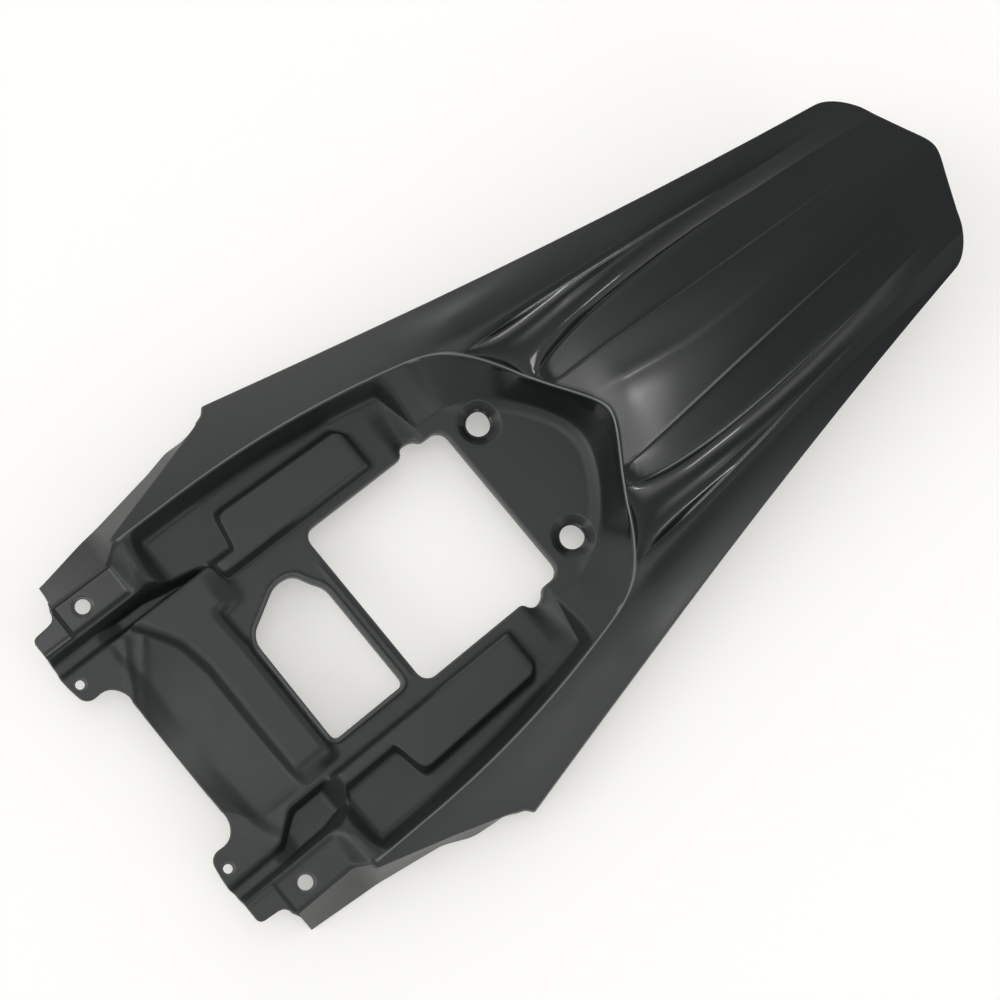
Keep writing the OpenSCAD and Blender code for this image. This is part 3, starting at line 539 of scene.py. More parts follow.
    def rim_distance(self, x, y):
        """Distance in plan from the rim's line: across it beside the deck, and to the nearest of its
        short straight pieces round the rear."""
        far = np.where(x < TURN_X, np.abs(y - self.rim_y(x)), 99.0)
        line = self.rim_line(np.linspace(0, 1, 40))
        near = (x >= TURN_X) & (x < RIM_REAR + 5)
        parts = [line_distance(x[near], y[near], ends) for ends in zip(line[:-1], line[1:])]
        far[near] = np.min(parts, axis=0)
        return far


# Edge profiles: how far each ring lies past the cut's margin line and below the surface there, in mm

PLAIN = [[0.3, 0.05], [0.62, 0.24], [0.82, 0.55], [0.9, 0.9], [0.9, 1.8],
         [0.7, 2.3], [0.35, 2.55], [0.15, 2.6], [0.05, 2.6]]
WINDOW = [[0.6, 0.1], [1.15, 0.45], [1.5, 1.0], [1.6, 1.6], [1.6, 7.6],
          [1.2, 8.0], [-0.5, 8.0], [-0.9, 7.6], [-0.9, 3.2]]
PORT = [[0.3, -0.5], [0.9, -1.8], [1.7, -2.35], [3.0, -2.4], [3.8, -2.0],
        [4.2, -1.3], [4.2, 5.6], [3.8, 6.0], [1.7, 6.0]]
SEAT = [[0.6, 0.15], [1.2, 0.5], [6.0, 2.75], [6.8, 3.0], [7.6, 3.0],
        [8.0, 3.4], [8.0, 5.2], [7.6, 5.6], [-1.6, 5.6]]
BORE = [[0.2, 0.05], [0.5, 0.3], [0.9, 0.6], [1.5, 0.6], [2.1, 0.65],
        [2.4, 0.9], [2.4, 2.2], [1.9, 2.55], [0.5, 2.6]]
PROFILES = np.array([PLAIN, WINDOW, PORT, SEAT, BORE], float)
MARGINS = np.array([0.9, 1.6, 4.2, 8.0, 2.4])

# How far each lane's edge is rounded and into how many parts the step outside it is split, in lane order
ROUNDING = (2.5, 2.0, 1.5, 1.7, 2.6, 5.0, 0.8, 0.8)
SPLITS = (11, 2, 3, 2, 2, 8, 1, 1)
HEM_ROUNDING, CREASE_ROUNDING, RIM_BEAD = 1.2, (2.0, 1.6, 1.6), 0.45

# Where the finish changes and where painted shade and highlight lie: ring of painted shade round a deck
# hole, level that only the tail reaches, front of the painted highlight on the rim's line
HOLE_RING, RIM_TOP, RIM_FRONT = (15.0, 16.5), 27, -252

# Rays between the tail's long lines, steps across the middle, and shares of the way out to the edge
RAY_COUNTS, MIDDLE_STEPS = (8, 10, 19, 6, 23), 40
OUTWARD = np.array([0.0125, 0.025, 0.04, 0.06, 0.085, 0.11, 0.135, 0.155, 0.172, 0.189, 0.206,
                    0.23, 0.27, 0.33, 0.4, 0.48, 0.57, 0.67, 0.78, 0.89, 1])


def fillet_rows(p, spots, runs, count=4):
    """Replaces each named row by points of a parabola that starts and ends a run's length from it on
    the straight lines to its neighbours, and never past 0.45 of them."""
    pieces, last = [], 0
    t = np.linspace(0, 1, count + 1)[:, None, None]
    for k, run in zip(spots, runs):
        before, after = p[k - 1] - p[k], p[k + 1] - p[k]
        length = np.minimum(np.linalg.norm(before, axis=-1), np.linalg.norm(after, axis=-1))
        cut = np.minimum(run, 0.45 * length)[:, None]
        a, b = p[k] + unit(before) * cut, p[k] + unit(after) * cut
        pieces += [p[last:k], a * (1 - t) ** 2 + p[k] * 2 * t * (1 - t) + b * t * t]
        last = k + 1
    return np.concatenate(pieces + [p[last:]])


def subdivide(p, parts):
    """Splits the step after each row into equal parts along the straight line."""
    rows = [mix(p[i], p[i + 1], np.arange(n)[:, None, None] / n) for i, n in enumerate(parts)]
    return np.concatenate(rows + [p[-1:]])


def lay_grid(m):
    """Control grid of the upper face: straight rows and rays, each from the left hem over the deck to
    the right one, with what each row and column is."""
    # Rows lie closer where the shape turns
    spots = [-NOSE_X, -EAR_X, -313, -300, BAR_X, -TROUGH_X, -TROUGH_X + 6, RAIL_X, SKIRT_X + 2, FOLD_X,
             -WELL_X, -PAD_FRONT_R, -BLOCK_REAR, -PAD_FRONT_L - 2, -PAD_STEP + 1, CORNER_X + 2,
             -WING_FRONT, -PAD_REAR - 2, -61, -GROOVE_X, -42]
    x = spread(-NOSE_X - 1.5, TURN_X, spots, fine=1.9, coarse=3.8, reach=4.5)
    ends = (0, T_SIDE, T_CREASE, T_CROWN, T_FIN, 1)
    t = np.concatenate([np.linspace(a, b, n + 1)[1:] for a, b, n in zip(ends, ends[1:], RAY_COUNTS)])
    halves = []
    for left in (True, False):
        lanes = np.concatenate([m.straight_lanes(x, left), m.ray_lanes(t)])
        outer = np.concatenate([m.straight_outer(x, OUTWARD[None, :], left), m.ray_outer(t, OUTWARD)])
        # On the rays any x behind the wing's corner gives the short hem
        along = np.concatenate([x, np.full(len(t), 400.0)])
        hem = m.hem(outer[:, -2], outer[:, -1], along, left)
        halves.append(np.concatenate([lanes, outer, hem[:, None]], 1))
    share = np.linspace(1, -1, MIDDLE_STEPS + 1)[1:-1]
    feet = halves[0][len(x):, 0]
    rays = np.stack([feet[:, :1] + 0 * share, feet[:, 1:2] * share, 0 * feet[:, :1] * share], -1)
    middle = np.concatenate([m.middle(x, m.lane_y(FLOOR, x, True), share), rays])
    grid = np.concatenate([halves[0][:, ::-1], middle, halves[1] * [1, -1, 1]], 1)
    crease_rows = len(x) - 1 + np.cumsum(RAY_COUNTS)[1:4]
    return grid, halves[0].shape[1], len(share), crease_rows


def underside(grid, wall):
    """Each point moves one wall inwards along the mean of the normals of its cells, and further where
    they turn. The normals are first averaged along the columns, so that no rows cross."""
    a, b, c, d = grid[:-1, :-1], grid[1:, :-1], grid[1:, 1:], grid[:-1, 1:]
    normal = -unit(np.cross(c - a, d - b))
    for _ in range(6):
        padded = np.concatenate([normal[:1], normal, normal[-1:]])
        normal = unit(padded[:-2] + 2 * padded[1:-1] + padded[2:])
    padded = np.pad(normal, ((1, 1), (1, 1), (0, 0)), mode="edge")
    cells = np.stack([padded[:-1, :-1], padded[1:, :-1], padded[1:, 1:], padded[:-1, 1:]])
    mean = unit(cells.sum(0))
    fit = np.maximum(0.5, (cells * mean).sum(-1).mean(0))
    return grid - mean * (wall / fit)[..., None]


def refine(grid, side, middles, creases, bead):
    """Rounds the lanes' edges, lifts a bead along the rim, splits wide steps between lanes, and rounds
    the tail's creases."""
    p = np.swapaxes(grid, 0, 1)
    left = [side - 1 - j for j in range(RIM + 1)]
    right = [side + middles + j for j in range(RIM + 1)]
    spots = [1, *left[::-1], *right, len(p) - 2]
    p = fillet_rows(p, spots, [HEM_ROUNDING, *ROUNDING[::-1], *ROUNDING, HEM_ROUNDING], 3)
    # Each rounded column is now four columns, so the steps that follow it are found from their places
    place = {spot: spot + 3 * k for k, spot in enumerate(spots)}
    for at in (place[left[RIM]], place[right[RIM]]):
        p[at:at + 4, :, 2] += np.array([0.4, 1, 1, 0.4])[:, None] * bead
    parts = np.ones(len(p) - 1, int)
    for j, count in enumerate(SPLITS):
        parts[place[left[j]] - 1] = parts[place[right[j]] + 3] = count
    return fillet_rows(np.swapaxes(subdivide(p, parts), 0, 1), creases, CREASE_ROUNDING, 4)


def build_surface(m):
    """Joins the trimmed upper face and underside with rings along every edge."""
    grid, side, middles, creases = lay_grid(m)
    top = refine(grid, side, middles, creases, RIM_BEAD)
    top[..., 2] += m.relief(top)
    under = refine(underside(grid, WALL), side, middles, creases, 0.0)
    rows, columns = top.shape[:2]
    ids = np.arange(rows * columns).reshape(rows, columns)
    # On the last row the two halves meet on the middle line, so both use the left half's points
    ids[-1] = ids[-1, np.minimum(np.arange(columns), columns - 1 - np.arange(columns))]
    quads = np.stack([ids[:-1, :-1], ids[:-1, 1:], ids[1:, 1:], ids[1:, :-1]], -1).reshape(-1, 4)
    span = np.gradient(top, axis=0), np.gradient(top, axis=1)
    normal = -unit(np.cross(span[0], span[1]))
    points = np.concatenate([top, under, normal], -1).reshape(-1, 9)

    plan = points[:, :2]
    hole = lambda p, x, y, r: np.hypot(p[:, 0] + x, np.abs(p[:, 1]) - y) - r
    deck_hole = lambda p: hole(p, 0, BOLT_Y, BOLT_R)
    small_hole = lambda p: np.minimum(hole(p, EAR_X, EAR_Y, EAR_R),
                                      hole(p, RAIL_HOLE_X, RAIL_HOLE_Y, RAIL_HOLE_R))
    cuts = [m.front_outline, m.window, m.port, deck_hole, small_hole]
    # Each cut is only measured at the x that it can reach
    ranges = [(-400, -300), (-155, -15), (-230, -152), (-25, 25), (-340, -280)]
    distance = np.full((len(cuts), len(points)), 1e3)
    for k, (cut, (x0, x1)) in enumerate(zip(cuts, ranges)):
        near = (plan[:, 0] > x0) & (plan[:, 0] < x1)
        distance[k, near] = cut(plan[near]) - MARGINS[k]
    kind, least = distance.argmin(0), distance.min(0)
    faces, points, kind, is_cut = trim(quads, points, least, kind)

    # Cut points move onto their line, along the distance's own slope over a tenth of a millimetre
    dx, dy = np.array([0.05, 0]), np.array([0, 0.05])
    outward = np.zeros((len(points), 3))
    for k, cut in enumerate(cuts):
        chosen = is_cut & (kind == k)
        p = points[chosen, :2]
        if not len(p):
            continue
        slope = unit(np.stack([cut(p + dx) - cut(p - dx), cut(p + dy) - cut(p - dy)], -1) / 0.1)
        off = (cut(p) - MARGINS[k])[:, None]
        points[chosen, :2] -= off * slope
        points[chosen, 3:5] -= off * slope
        outward[chosen, :2] = -slope
    return edge_rings(faces, points, kind, is_cut, outward)


def trim(quads, points, least, kind):
    """Keeps what lies where the distance is positive. A cell that the line crosses keeps its corners on
    that side, and gets a point on each crossed side where the distance, taken as straight, is nothing."""
    keep = least > 0
    inside = keep[quads]
    whole, none = inside.all(1), ~inside.any(1)
    part = quads[~whole & ~none]
    a, b = part, np.roll(part, -1, axis=1)
    crossed = (keep[a] != keep[b]) & (a != b)
    pairs = np.sort(np.stack([a, b], -1), -1)[crossed]
    sides, number = np.unique(pairs, axis=0, return_inverse=True)
    f = (least[sides[:, 0]] / (least[sides[:, 0]] - least[sides[:, 1]]))[:, None]
    f = np.clip(f, 0.02, 0.98)
    new = mix(points[sides[:, 0]], points[sides[:, 1]], f)
    new[:, 6:] = unit(new[:, 6:])
    inner = np.where(keep[sides[:, 0]], sides[:, 1], sides[:, 0])
    mixed = np.full(part.shape + (2,), -1)
    mixed[..., 0] = np.where(keep[a], a, -1)
    mixed[crossed, 1] = len(points) + number.reshape(-1)
    rings = np.full((whole.sum(), 8), -1)
    rings[:, 0::2] = quads[whole]
    faces = np.concatenate([rings, mixed.reshape(len(part), 8)])
    # Doubled corners of the cells on the middle line are dropped
    for i in range(0, 8, 2):
        same = (faces[:, i] >= 0) & (faces[:, i] == faces[:, (i + 2) % 8]) & (faces[:, i + 1] < 0)
        faces[same, i] = -1
    count = len(points)
    return (faces, np.concatenate([points, new]), np.concatenate([kind, kind[inner]]),
            np.concatenate([np.zeros(count, bool), np.ones(len(new), bool)]))


def face_sides(faces):
    """Directed sides of faces whose rows hold corners, with -1 where there is none."""
    used = faces >= 0
    length = used.sum(1)
    flat = faces[used]
    start = np.repeat(np.cumsum(length) - length, length)
    after = np.arange(len(flat)) + 1
    after = np.where(after == start + np.repeat(length, length), start, after)
    return flat, flat[after], length


def edge_rings(faces, points, kind, is_cut, outward):
    """Finds the sides that only one face has, carries each edge profile along them, and returns the
    closed mesh: upper face, rings and underside."""
    faces = faces[(faces >= 0).sum(1) > 2]
    a, b, _ = face_sides(faces)
    width = len(points)
    there, back = a * width + b, b * width + a
    free = ~np.isin(there, back)
    a, b = a[free], b[free]
    normal = points[:, 6:]
    tangent = np.zeros((width, 3))
    way = unit(points[b, :3] - points[a, :3])
    np.add.at(tangent, a, way)
    np.add.at(tangent, b, way)
    side = unit(np.cross(unit(tangent), normal))
    outline = is_cut & (kind > 0)
    outward = np.where(outline[:, None], outward, side)
    kind = np.where(outline, kind, 0)
    used = np.unique(np.concatenate([a, b]))
    number = np.full(width, -1)
    number[used] = np.arange(len(used))
    up = np.where(outline[:, None], [0.0, 0.0, 1.0], normal)[used]
    rings = []
    for i in range(PROFILES.shape[1]):
        offset = PROFILES[kind[used], i]
        rings.append(points[used, :3] + outward[used] * offset[:, :1] - up * offset[:, 1:])
    count = len(rings)
    ring_id = 2 * width + np.arange(count * len(used)).reshape(count, len(used))
    levels = [a] + [ring_id[i, number[a]] for i in range(count)] + [width + a]
    ends = [b] + [ring_id[i, number[b]] for i in range(count)] + [width + b]
    strips = [np.stack([levels[i + 1], ends[i + 1], ends[i], levels[i]], -1) for i in range(count + 1)]
    strips = np.concatenate(strips)
    wide = np.full((len(strips), 8), -1)
    wide[:, :4] = strips
    below = np.where(faces >= 0, faces + width, -1)[:, ::-1]
    everything = np.concatenate([faces, wide, below])
    where = np.concatenate([points[:, :3], points[:, 3:6], np.concatenate(rings)])
    zone = np.concatenate([np.zeros(width), np.ones(width), np.full(count * len(used), 0.5)])
    flat, _, length = face_sides(everything)
    real = np.unique(flat)
    order = np.full(len(where), -1)
    order[real] = np.arange(len(real))
    return where[real], order[flat], length, zone[real]


def add_object(name, data):
    """A new object at the origin, linked into the scene."""
    made = bpy.data.objects.new(name, data)
    bpy.context.scene.collection.objects.link(made)
    return made


def finish_and_light_marks(m, where, zone):
    """Two values for each point. The first, for polish, is 1 on the tail beyond the rim, on the left rail's
    pad and in a ring round each deck hole, and 0.7 on the rear wall; it blends the tone towards the darker
    deep tone, and in the ring round each deck hole that darker tone is painted shade in the hole's recess.
    The second gives a lighter tone along the cut edges, a painted highlight along the rim's line and painted
    glints along the tail's long lines, of which the crown's and the fin's show on the right half only. Each
    fades by a smooth step."""
    x, y, z = where[:, 0], np.abs(where[:, 1]), where[:, 2]
    upper, rings, on_left = zone == 0, zone == 0.5, where[:, 1] > 0

    def to_line(t):
        line = m.ray_plan(np.array([t]), np.linspace(0, 1, 60))[0]
        return np.interp(x, line[:, 0], line[:, 1]) - y

    beyond = np.where(x < TURN_X, y > m.rim_y(x), z > RIM_TOP)
    tail = smooth_step(x, -20, 60) * beyond * np.maximum(smooth_step(to_line(T_CREASE), -4, 2),
                                                         smooth_step(x, 150, 330))
    pad = smooth_step(y, RAIL_IN, RAIL_IN + 3) * fade(x, RAIL_X - 2, RAIL_X + 2)
    wall = 0.7 * smooth_step(x, -10, 30) * smooth_step(z, 6, 10)
    # Painted shade: a ring round each deck hole takes the darker deep tone, and more polish, for the shade
    # in the hole's recess
    hole_shade = fade(np.hypot(x, y - BOLT_Y), *HOLE_RING)
    gloss_and_hole_shade = np.clip(tail + pad * on_left * (y < RAIL_OUT) + wall + hole_shade, 0, 1) * (zone < 0.9)
    # Painted highlight: the lighter tone along the rim's line stands in for the glint off its small bead
    rim = upper * (x > RIM_FRONT) * fade(m.rim_distance(x, y), 0.4, 0.7)
    # Second value: a lighter tone along the cut edges, except round each deck hole, and the rim's painted
    # highlight at full strength
    pale_and_glinting = np.maximum(rings * 0.5 * (1 - hole_shade), rim * 2.0)
    # Painted glints along the tail's crease, crown and fin lines, fading along the tail; the crown's and the
    # fin's only on the right half
    tail_glints = upper * 1.6 * smooth_step(x, 58, 72) * fade(x, 110, 250)
    for t, one_side in ((T_CREASE, False), (T_CROWN, True), (T_FIN, True)):
        shown = tail_glints * np.where(one_side & on_left, 0, 1)
        pale_and_glinting = np.maximum(pale_and_glinting, shown * fade(np.abs(to_line(t)), 0.5, 0.9))
    return {"gloss_and_hole_shade": gloss_and_hole_shade, "pale_and_glinting": pale_and_glinting}


def make_mesh(name, where, corners, length, marks):
    """A mesh from points in millimetres and faces of any size, with values per point."""
    mesh = bpy.data.meshes.new(name)
    mesh.vertices.add(len(where))
    mesh.vertices.foreach_set("co", (where * MM).astype(np.float32).ravel())
    mesh.loops.add(len(corners))
    mesh.loops.foreach_set("vertex_index", corners.astype(np.int32))
    mesh.polygons.add(len(length))
    mesh.polygons.foreach_set("loop_start", (np.cumsum(length) - length).astype(np.int32))
    mesh.polygons.foreach_set("loop_total", length.astype(np.int32))
    mesh.polygons.foreach_set("use_smooth", np.ones(len(length), bool))
    for title, value in marks.items():
        mesh.attributes.new(title, "FLOAT", "POINT").data.foreach_set("value", value.astype(np.float32))
    mesh.update(calc_edges=True)
    if mesh.validate():
        raise RuntimeError("the shell's mesh had faults")
    return add_object(name, mesh)


# Shader maths

class Wire:
    """A socket of a material's node tree, on which sums are written as plain Python."""

    def __init__(self, tree, socket):
        self.tree, self.socket = tree, socket

    def math(self, operation, *values):
        return node(self.tree, "ShaderNodeMath", {"operation": operation}, dict(enumerate(values)))

    def into(self, shader, name):
        self.tree.links.new(self.socket, shader.inputs[name])

    def __add__(self, other): return self.math("ADD", self, other)
    def __sub__(self, other): return self.math("SUBTRACT", self, other)
    def __mul__(self, other): return self.math("MULTIPLY", self, other)
    def __rsub__(self, other): return self.math("SUBTRACT", other, self)
    __radd__ = __add__
    __rmul__ = __mul__


def node(tree, kind, settings, inputs, output=0):
    """Adds a node: first its settings, then the values or wires of its sockets."""
    made = tree.nodes.new(kind)
    for key, value in settings.items():
        if key == "stops":
            ramp = made.color_ramp
            for i, (at, level) in enumerate(value):
                stop = ramp.elements[i] if i < 2 else ramp.elements.new(at)
                stop.position, stop.color = at, (level, level, level, 1)
        else:
            setattr(made, key, value)
    for key, value in inputs.items():
        if isinstance(value, Wire):
            tree.links.new(value.socket, made.inputs[key])
        else:
            made.inputs[key].default_value = value
    return Wire(tree, made.outputs[output])


def blend(tree, share, first, second):
    """A colour between two, by the share of the second."""
    return node(tree, "ShaderNodeMix", {"data_type": "RGBA"},
                {"Factor": share, "A": first, "B": second}, "Result")


def new_material(name):
    """A material, its tree, its shader and the coordinates of the object that wears it."""
    material = bpy.data.materials.new(name)
    material.use_nodes = True
    tree = material.node_tree
    return material, tree, tree.nodes["Principled BSDF"], node(tree, "ShaderNodeTexCoord", {}, {}, "Object")


def moulded_plastic(finish):
    """Black moulded plastic: a fine grain that is strong on the satin faces and almost gone on the polished
    ones, faint handling marks, a darker deep tone on the polished faces that is painted shade in the ring
    round each deck hole, and a lighter tone along the cut edges that also gives painted highlights and
    glints along the rim's line and the tail's lines."""
    material, tree, shader, place = new_material("moulded_black_plastic")
    gloss_and_hole_shade = node(tree, "ShaderNodeAttribute", {"attribute_name": "gloss_and_hole_shade"}, {}, "Fac")
    pale_and_glinting = node(tree, "ShaderNodeAttribute", {"attribute_name": "pale_and_glinting"}, {}, "Fac")
    noise = lambda scale, detail, rough=0.5: node(
        tree, "ShaderNodeTexNoise", {"noise_dimensions": "3D"},
        {"Vector": place, "Scale": scale, "Detail": detail, "Roughness": rough}, "Fac")
    cloud, grain, smear = noise(14.0, 3.0), noise(1500.0, 2.0), noise(60.0, 4.0, 0.6)
    worn = node(tree, "ShaderNodeValToRGB", {"stops": [(0.45, 0.0), (0.75, 1.0)]}, {"Fac": smear})
    tone = blend(tree, cloud, (*finish.dark, 1), (*finish.light, 1))
    # Polished faces blend to the darker deep tone; in the ring round each deck hole this is painted shade
    tone = blend(tree, gloss_and_hole_shade, tone, (*finish.deep, 1))
    # Lighter tone along the cut edges, and painted highlights and glints along the rim's line and the tail's
    # lines
    tone = blend(tree, pale_and_glinting * 0.5, tone, (*finish.pale_and_glinting, 1))
    satin = finish.satin_roughness + (cloud - 0.5) * 0.12 + worn * 0.04
    polished = finish.gloss_roughness + worn * 0.03
    tone.into(shader, "Base Color")
    roughness = satin * (1 - gloss_and_hole_shade) + polished * gloss_and_hole_shade
    roughness.into(shader, "Roughness")
    height = grain * (1 - gloss_and_hole_shade) + cloud * 0.1
    bump = node(tree, "ShaderNodeBump", {},
                {"Strength": 0.12, "Distance": 0.0002, "Height": height}, "Normal")
    bump.into(shader, "Normal")
    shader.inputs["IOR"].default_value = 1.5
    return material


def paper_material(name, colour, roughness, glow):
    """A matt paper surface. Seen by the camera, in a reflection or through glass, some white of its own
    is added to the light that falls on it, and the object's shadow stays."""
    material, tree, shader, place = new_material(name)
    fibre = node(tree, "ShaderNodeTexNoise", {}, {"Vector": place, "Scale": 4.0, "Detail": 3.0}, "Fac")
    tone = blend(tree, fibre * 0.5, (*colour, 1), (*(c * 0.985 for c in colour), 1))
    tone.into(shader, "Base Color")
    shader.inputs["Roughness"].default_value = roughness
    camera, glossy, through = (node(tree, "ShaderNodeLightPath", {}, {}, "Is %s Ray" % seen)
                               for seen in ("Camera", "Glossy", "Transmission"))
    strength = (camera + glossy + through) * glow
    light = node(tree, "ShaderNodeEmission", {},
                 {"Color": (1, 0.985, 0.95, 1), "Strength": strength}, "Emission")
    both = node(tree, "ShaderNodeAddShader", {}, {1: light}, "Shader")
    tree.links.new(shader.outputs["BSDF"], both.socket.node.inputs[0])
    both.into(tree.nodes["Material Output"], "Surface")
    return material


# Settings that a user would change

class FenderSize(bpy.types.PropertyGroup):
    pad_height: FloatProperty(
        name="Pad height", description="Height of the raised pads", default=0.012, unit="LENGTH")
    rim_height: FloatProperty(
        name="Rim height", description="Height of the rim over the deck at its front",
        default=0.022, unit="LENGTH")
    channel_depth: FloatProperty(
        name="Channel depth", description="Depth of the channels beside the crown",
        default=0.011, unit="LENGTH")
    tail_length: FloatProperty(
        name="Tail length", description="Distance of the tail's tip behind the deck bolts",
        default=0.385, unit="LENGTH")
    tail_height: FloatProperty(
        name="Tail height", description="Height of the tail's tip over the deck",
        default=0.060, unit="LENGTH")
    block_height: FloatProperty(
        name="Block height", description="Height of the cross block over the deck",
        default=0.008, unit="LENGTH")
    seat_depth: FloatProperty(
        name="Seat depth", description="Height of the deck floor above the bolt seats",
        default=0.003, unit="LENGTH")


class FenderFinish(bpy.types.PropertyGroup):
    dark: FloatVectorProperty(
        name="Dark tone", description="Darker tone of the satin plastic",
        default=(0.015, 0.018, 0.017), subtype="COLOR")
    light: FloatVectorProperty(
        name="Light tone", description="Lighter tone of the satin plastic",
        default=(0.023, 0.027, 0.0255), subtype="COLOR")
    # The deep tone is also the painted shade in the ring round each deck hole
    deep: FloatVectorProperty(
        name="Deep tone", description="Tone of the polished plastic",
        default=(0.0065, 0.008, 0.0085), subtype="COLOR")
    # This lighter tone is used along the cut edges and for the painted highlight along the rim and the
    # painted glints along the tail's lines
    pale_and_glinting: FloatVectorProperty(
        name="Rubbed tone", description="Tone of rubbed edges",
        default=(0.16, 0.17, 0.17), subtype="COLOR")
    satin_roughness: FloatProperty(
        name="Satin roughness", description="Roughness of the deck and wings", default=0.42, min=0, max=1)
    gloss_roughness: FloatProperty(
        name="Gloss roughness", description="Roughness of the polished tail and rail pads",
        default=0.09, min=0, max=1)


class FenderStage(bpy.types.PropertyGroup):
    lens: FloatProperty(name="Lens", description="Focal length for a 36 mm sensor", default=72.0)
    camera_place: FloatVectorProperty(
        name="Camera place", description="Where the camera stands",
        default=(-0.403259, -0.103875, 1.354874), subtype="TRANSLATION", unit="LENGTH")
    camera_turn: FloatVectorProperty(
        name="Camera turn", description="Camera rotation, XYZ order",
        default=(0.23254246, -0.16288257, -0.70312622), subtype="EULER", unit="ROTATION")
    floor_colour: FloatVectorProperty(
        name="Floor colour", description="Colour of the paper floor",
        default=(0.73, 0.724, 0.70), subtype="COLOR")
    floor_glow: FloatProperty(
        name="Floor glow", description="White of its own that the paper adds for the camera",
        default=0.345, min=0, max=1)
    front_power: FloatProperty(
        name="Front light", description="Power of the low lamp beyond the rails",
        default=0.6, unit="POWER")
    right_power: FloatProperty(
        name="Right light", description="Power of the small lamp on the right side",
        default=0.8, unit="POWER")
    left_power: FloatProperty(
        name="Left light", description="Power of the small lamp on the left side",
        default=0.6, unit="POWER")
    sky_top: FloatProperty(
        name="Sky above", description="Strength of the surrounding light overhead", default=0.36)
    sky_rise: FloatProperty(
        name="Sky rise", description="How much stronger the surrounding light is at the horizon",
        default=0.4)
    sky_lean: FloatProperty(
        name="Sky lean", description="How much stronger the surrounding light is on the left",
        default=0.2)
    window_level: FloatProperty(
        name="Window", description="Strength of the broad light ahead of the rails", default=3.4)
    key_level: FloatProperty(
        name="Key light", description="Strength of the narrow light above", default=6.0)
    box_level: FloatProperty(
        name="Softbox", description="Strength of the soft light right above", default=3.2)
    box_width: FloatProperty(
        name="Softbox width", description="Half width of the soft light above, as a share of the sky",
        default=0.25)


# Fixed places of the stage: lamps in metres, directions and half widths of the lights in the sky

PAPER_REACH, FLOOR_GAP, SENSOR_MM = 40.0, 0.0004, 36.0
LAMPS = [("front", (-1.5, 0.75, 0.4), (0.4, 0.3)), ("right", (0.40, -1.45, 0.68), (0.2, 0.12)),
         ("left", (0.43, 1.45, 0.66), (0.2, 0.12))]
KEY_WAY, KEY_WIDTH = (0.045, -0.02, 0.999), 0.035
BOX_WAY = (-0.12, 0.08, 0.99)
WINDOW_WAY, WINDOW_WIDTH = (-0.75, 0.4, 0.53), 0.3
SIDE_WAY, SIDE_WIDTH, SIDE_LEVEL = (0.2, -0.85, 0.48), 0.22, 1.6


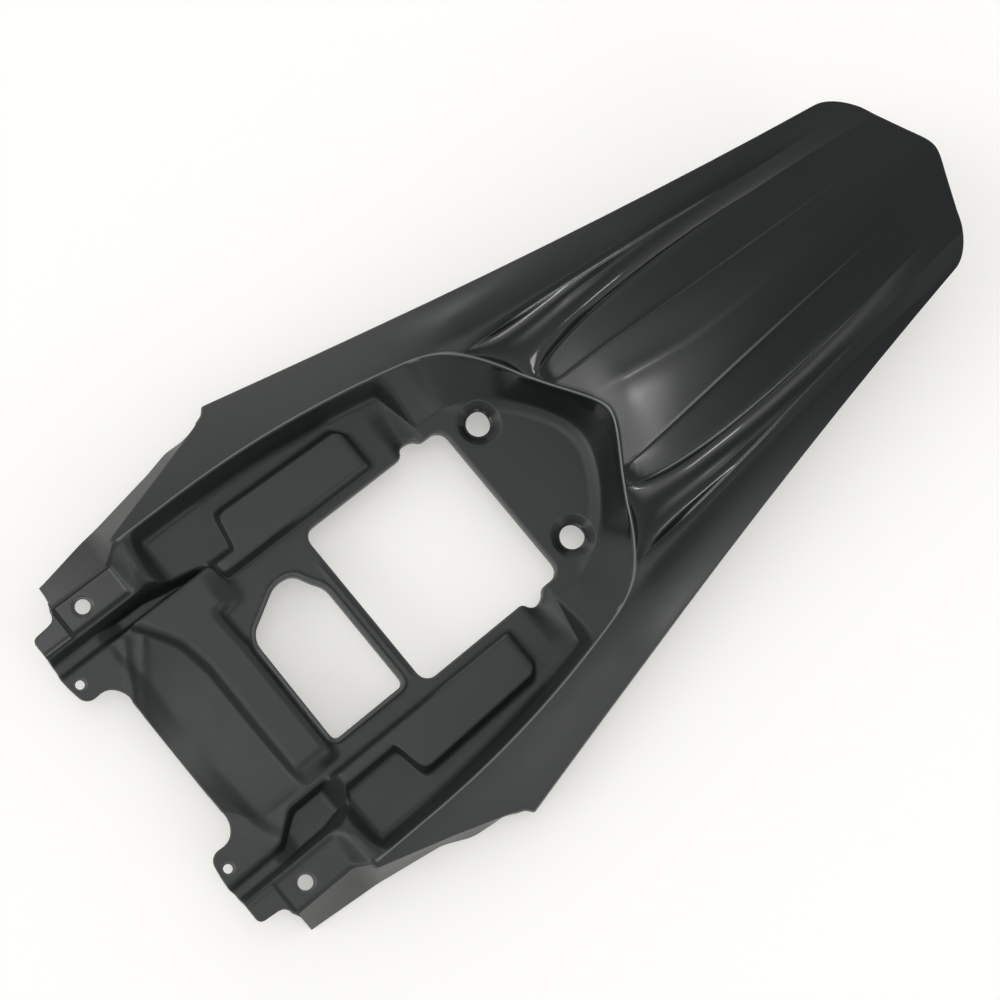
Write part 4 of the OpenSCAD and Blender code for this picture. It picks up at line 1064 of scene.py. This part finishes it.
class FENDER_OT_stage(bpy.types.Operator):
    """Camera, floor, lamps and surrounding light"""
    bl_idname = "fender.stage"
    bl_label = "Stage"

    def execute(self, context):
        stage = context.scene.fender_stage
        lens = bpy.data.cameras.new("camera")
        lens.lens, lens.sensor_width = stage.lens, SENSOR_MM
        lens.clip_start, lens.clip_end = 0.05, 20.0
        camera = add_object("camera", lens)
        camera.location = stage.camera_place
        camera.rotation_euler = stage.camera_turn
        context.scene.camera = camera

        low = cad_box[0][2] - FLOOR_GAP
        paper = bpy.data.meshes.new("floor")
        corners = [(a * PAPER_REACH, b * PAPER_REACH, low) for a, b in ((-1, -1), (1, -1), (1, 1), (-1, 1))]
        paper.from_pydata(corners, [], [(0, 1, 2, 3)])
        paper.materials.append(paper_material("paper", stage.floor_colour, 0.75, stage.floor_glow))
        add_object("floor", paper)

        powers = stage.front_power, stage.right_power, stage.left_power
        for (name, place, size), power in zip(LAMPS, powers):
            light = bpy.data.lights.new(name, "AREA")
            light.shape, light.size, light.size_y, light.energy = "RECTANGLE", size[0], size[1], power
            lamp = add_object(name, light)
            lamp.location = place
            # Turned to face the origin
            lamp.rotation_euler = (math.atan2(math.hypot(place[0], place[1]), place[2]), 0,
                                   math.atan2(place[0], -place[1]))

        world = bpy.data.worlds.new("surround")
        context.scene.world = world
        world.use_nodes = True
        tree = world.node_tree
        background = tree.nodes["Background"]
        background.inputs["Color"].default_value = (1, 1, 1, 1)
        way = node(tree, "ShaderNodeTexCoord", {}, {}, "Generated")
        x, y, z = (node(tree, "ShaderNodeSeparateXYZ", {}, {"Vector": way}, axis) for axis in "XYZ")
        up = z.math("MAXIMUM", z, 0.0)

        def lobe(centre, width, level):
            """Light around a direction: level times exp(-(d/w)^2), d being the unit vectors' distance."""
            a, b, c = x - centre[0], y - centre[1], z - centre[2]
            far = (a * a + b * b + c * c) * (1 / width ** 2)
            return far.math("POWER", math.exp(-1), far) * level

        lobes = lobe(KEY_WAY, KEY_WIDTH, stage.key_level) + lobe(BOX_WAY, stage.box_width, stage.box_level)
        lobes = lobes + lobe(WINDOW_WAY, WINDOW_WIDTH, stage.window_level)
        lobes = lobes + lobe(SIDE_WAY, SIDE_WIDTH, SIDE_LEVEL)
        sky = (stage.sky_top + (1 - up) * stage.sky_rise) * (1 + y * stage.sky_lean)
        (sky + lobes).into(background, "Strength")
        context.scene.view_settings.view_transform = "Standard"
        return {"FINISHED"}


class FENDER_OT_shell(bpy.types.Operator):
    """The moulded shell: deck, pads, rim, wings, tail and rails in one closed surface"""
    bl_idname = "fender.shell"
    bl_label = "Shell"

    def execute(self, context):
        mould = Moulding(context.scene.fender_size)
        where, corners, length, zone = build_surface(mould)
        where = where + [0, 0, context.scene.fender_size.seat_depth / MM]
        piece = make_mesh("fender_shell", where, corners, length, finish_and_light_marks(mould, where, zone))
        piece.data.materials.append(moulded_plastic(context.scene.fender_finish))
        weighted = piece.modifiers.new("even shading", "WEIGHTED_NORMAL")
        weighted.keep_sharp = False
        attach(piece, "root")
        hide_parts("rear_fender")
        return {"FINISHED"}


class FENDER_PT_panel(bpy.types.Panel):
    """Shows the values of each group and a button for each step"""
    bl_idname = "FENDER_PT_panel"
    bl_label = "Rear fender"
    bl_space_type = "VIEW_3D"
    bl_region_type = "UI"
    bl_category = "Fender"

    def draw(self, context):
        scene = context.scene
        for title, group in (("Sizes", scene.fender_size), ("Finish", scene.fender_finish),
                             ("Stage", scene.fender_stage)):
            box = self.layout.box()
            box.label(text=title)
            for key in group.__annotations__:
                box.prop(group, key)
        for name in OPERATORS:
            self.layout.operator(name)


OPERATORS = ["fender.stage", "fender.shell"]
CLASSES = [FenderSize, FenderFinish, FenderStage, FENDER_OT_stage, FENDER_OT_shell, FENDER_PT_panel]


def register():
    for kind in CLASSES:
        bpy.utils.register_class(kind)
    bpy.types.Scene.fender_size = PointerProperty(type=FenderSize)
    bpy.types.Scene.fender_finish = PointerProperty(type=FenderFinish)
    bpy.types.Scene.fender_stage = PointerProperty(type=FenderStage)


def unregister():
    del bpy.types.Scene.fender_stage
    del bpy.types.Scene.fender_finish
    del bpy.types.Scene.fender_size
    for kind in reversed(CLASSES):
        bpy.utils.unregister_class(kind)


def main():
    register()
    bpy.ops.fender.stage()
    bpy.ops.fender.shell()


if __name__ == "__main__":
    main()
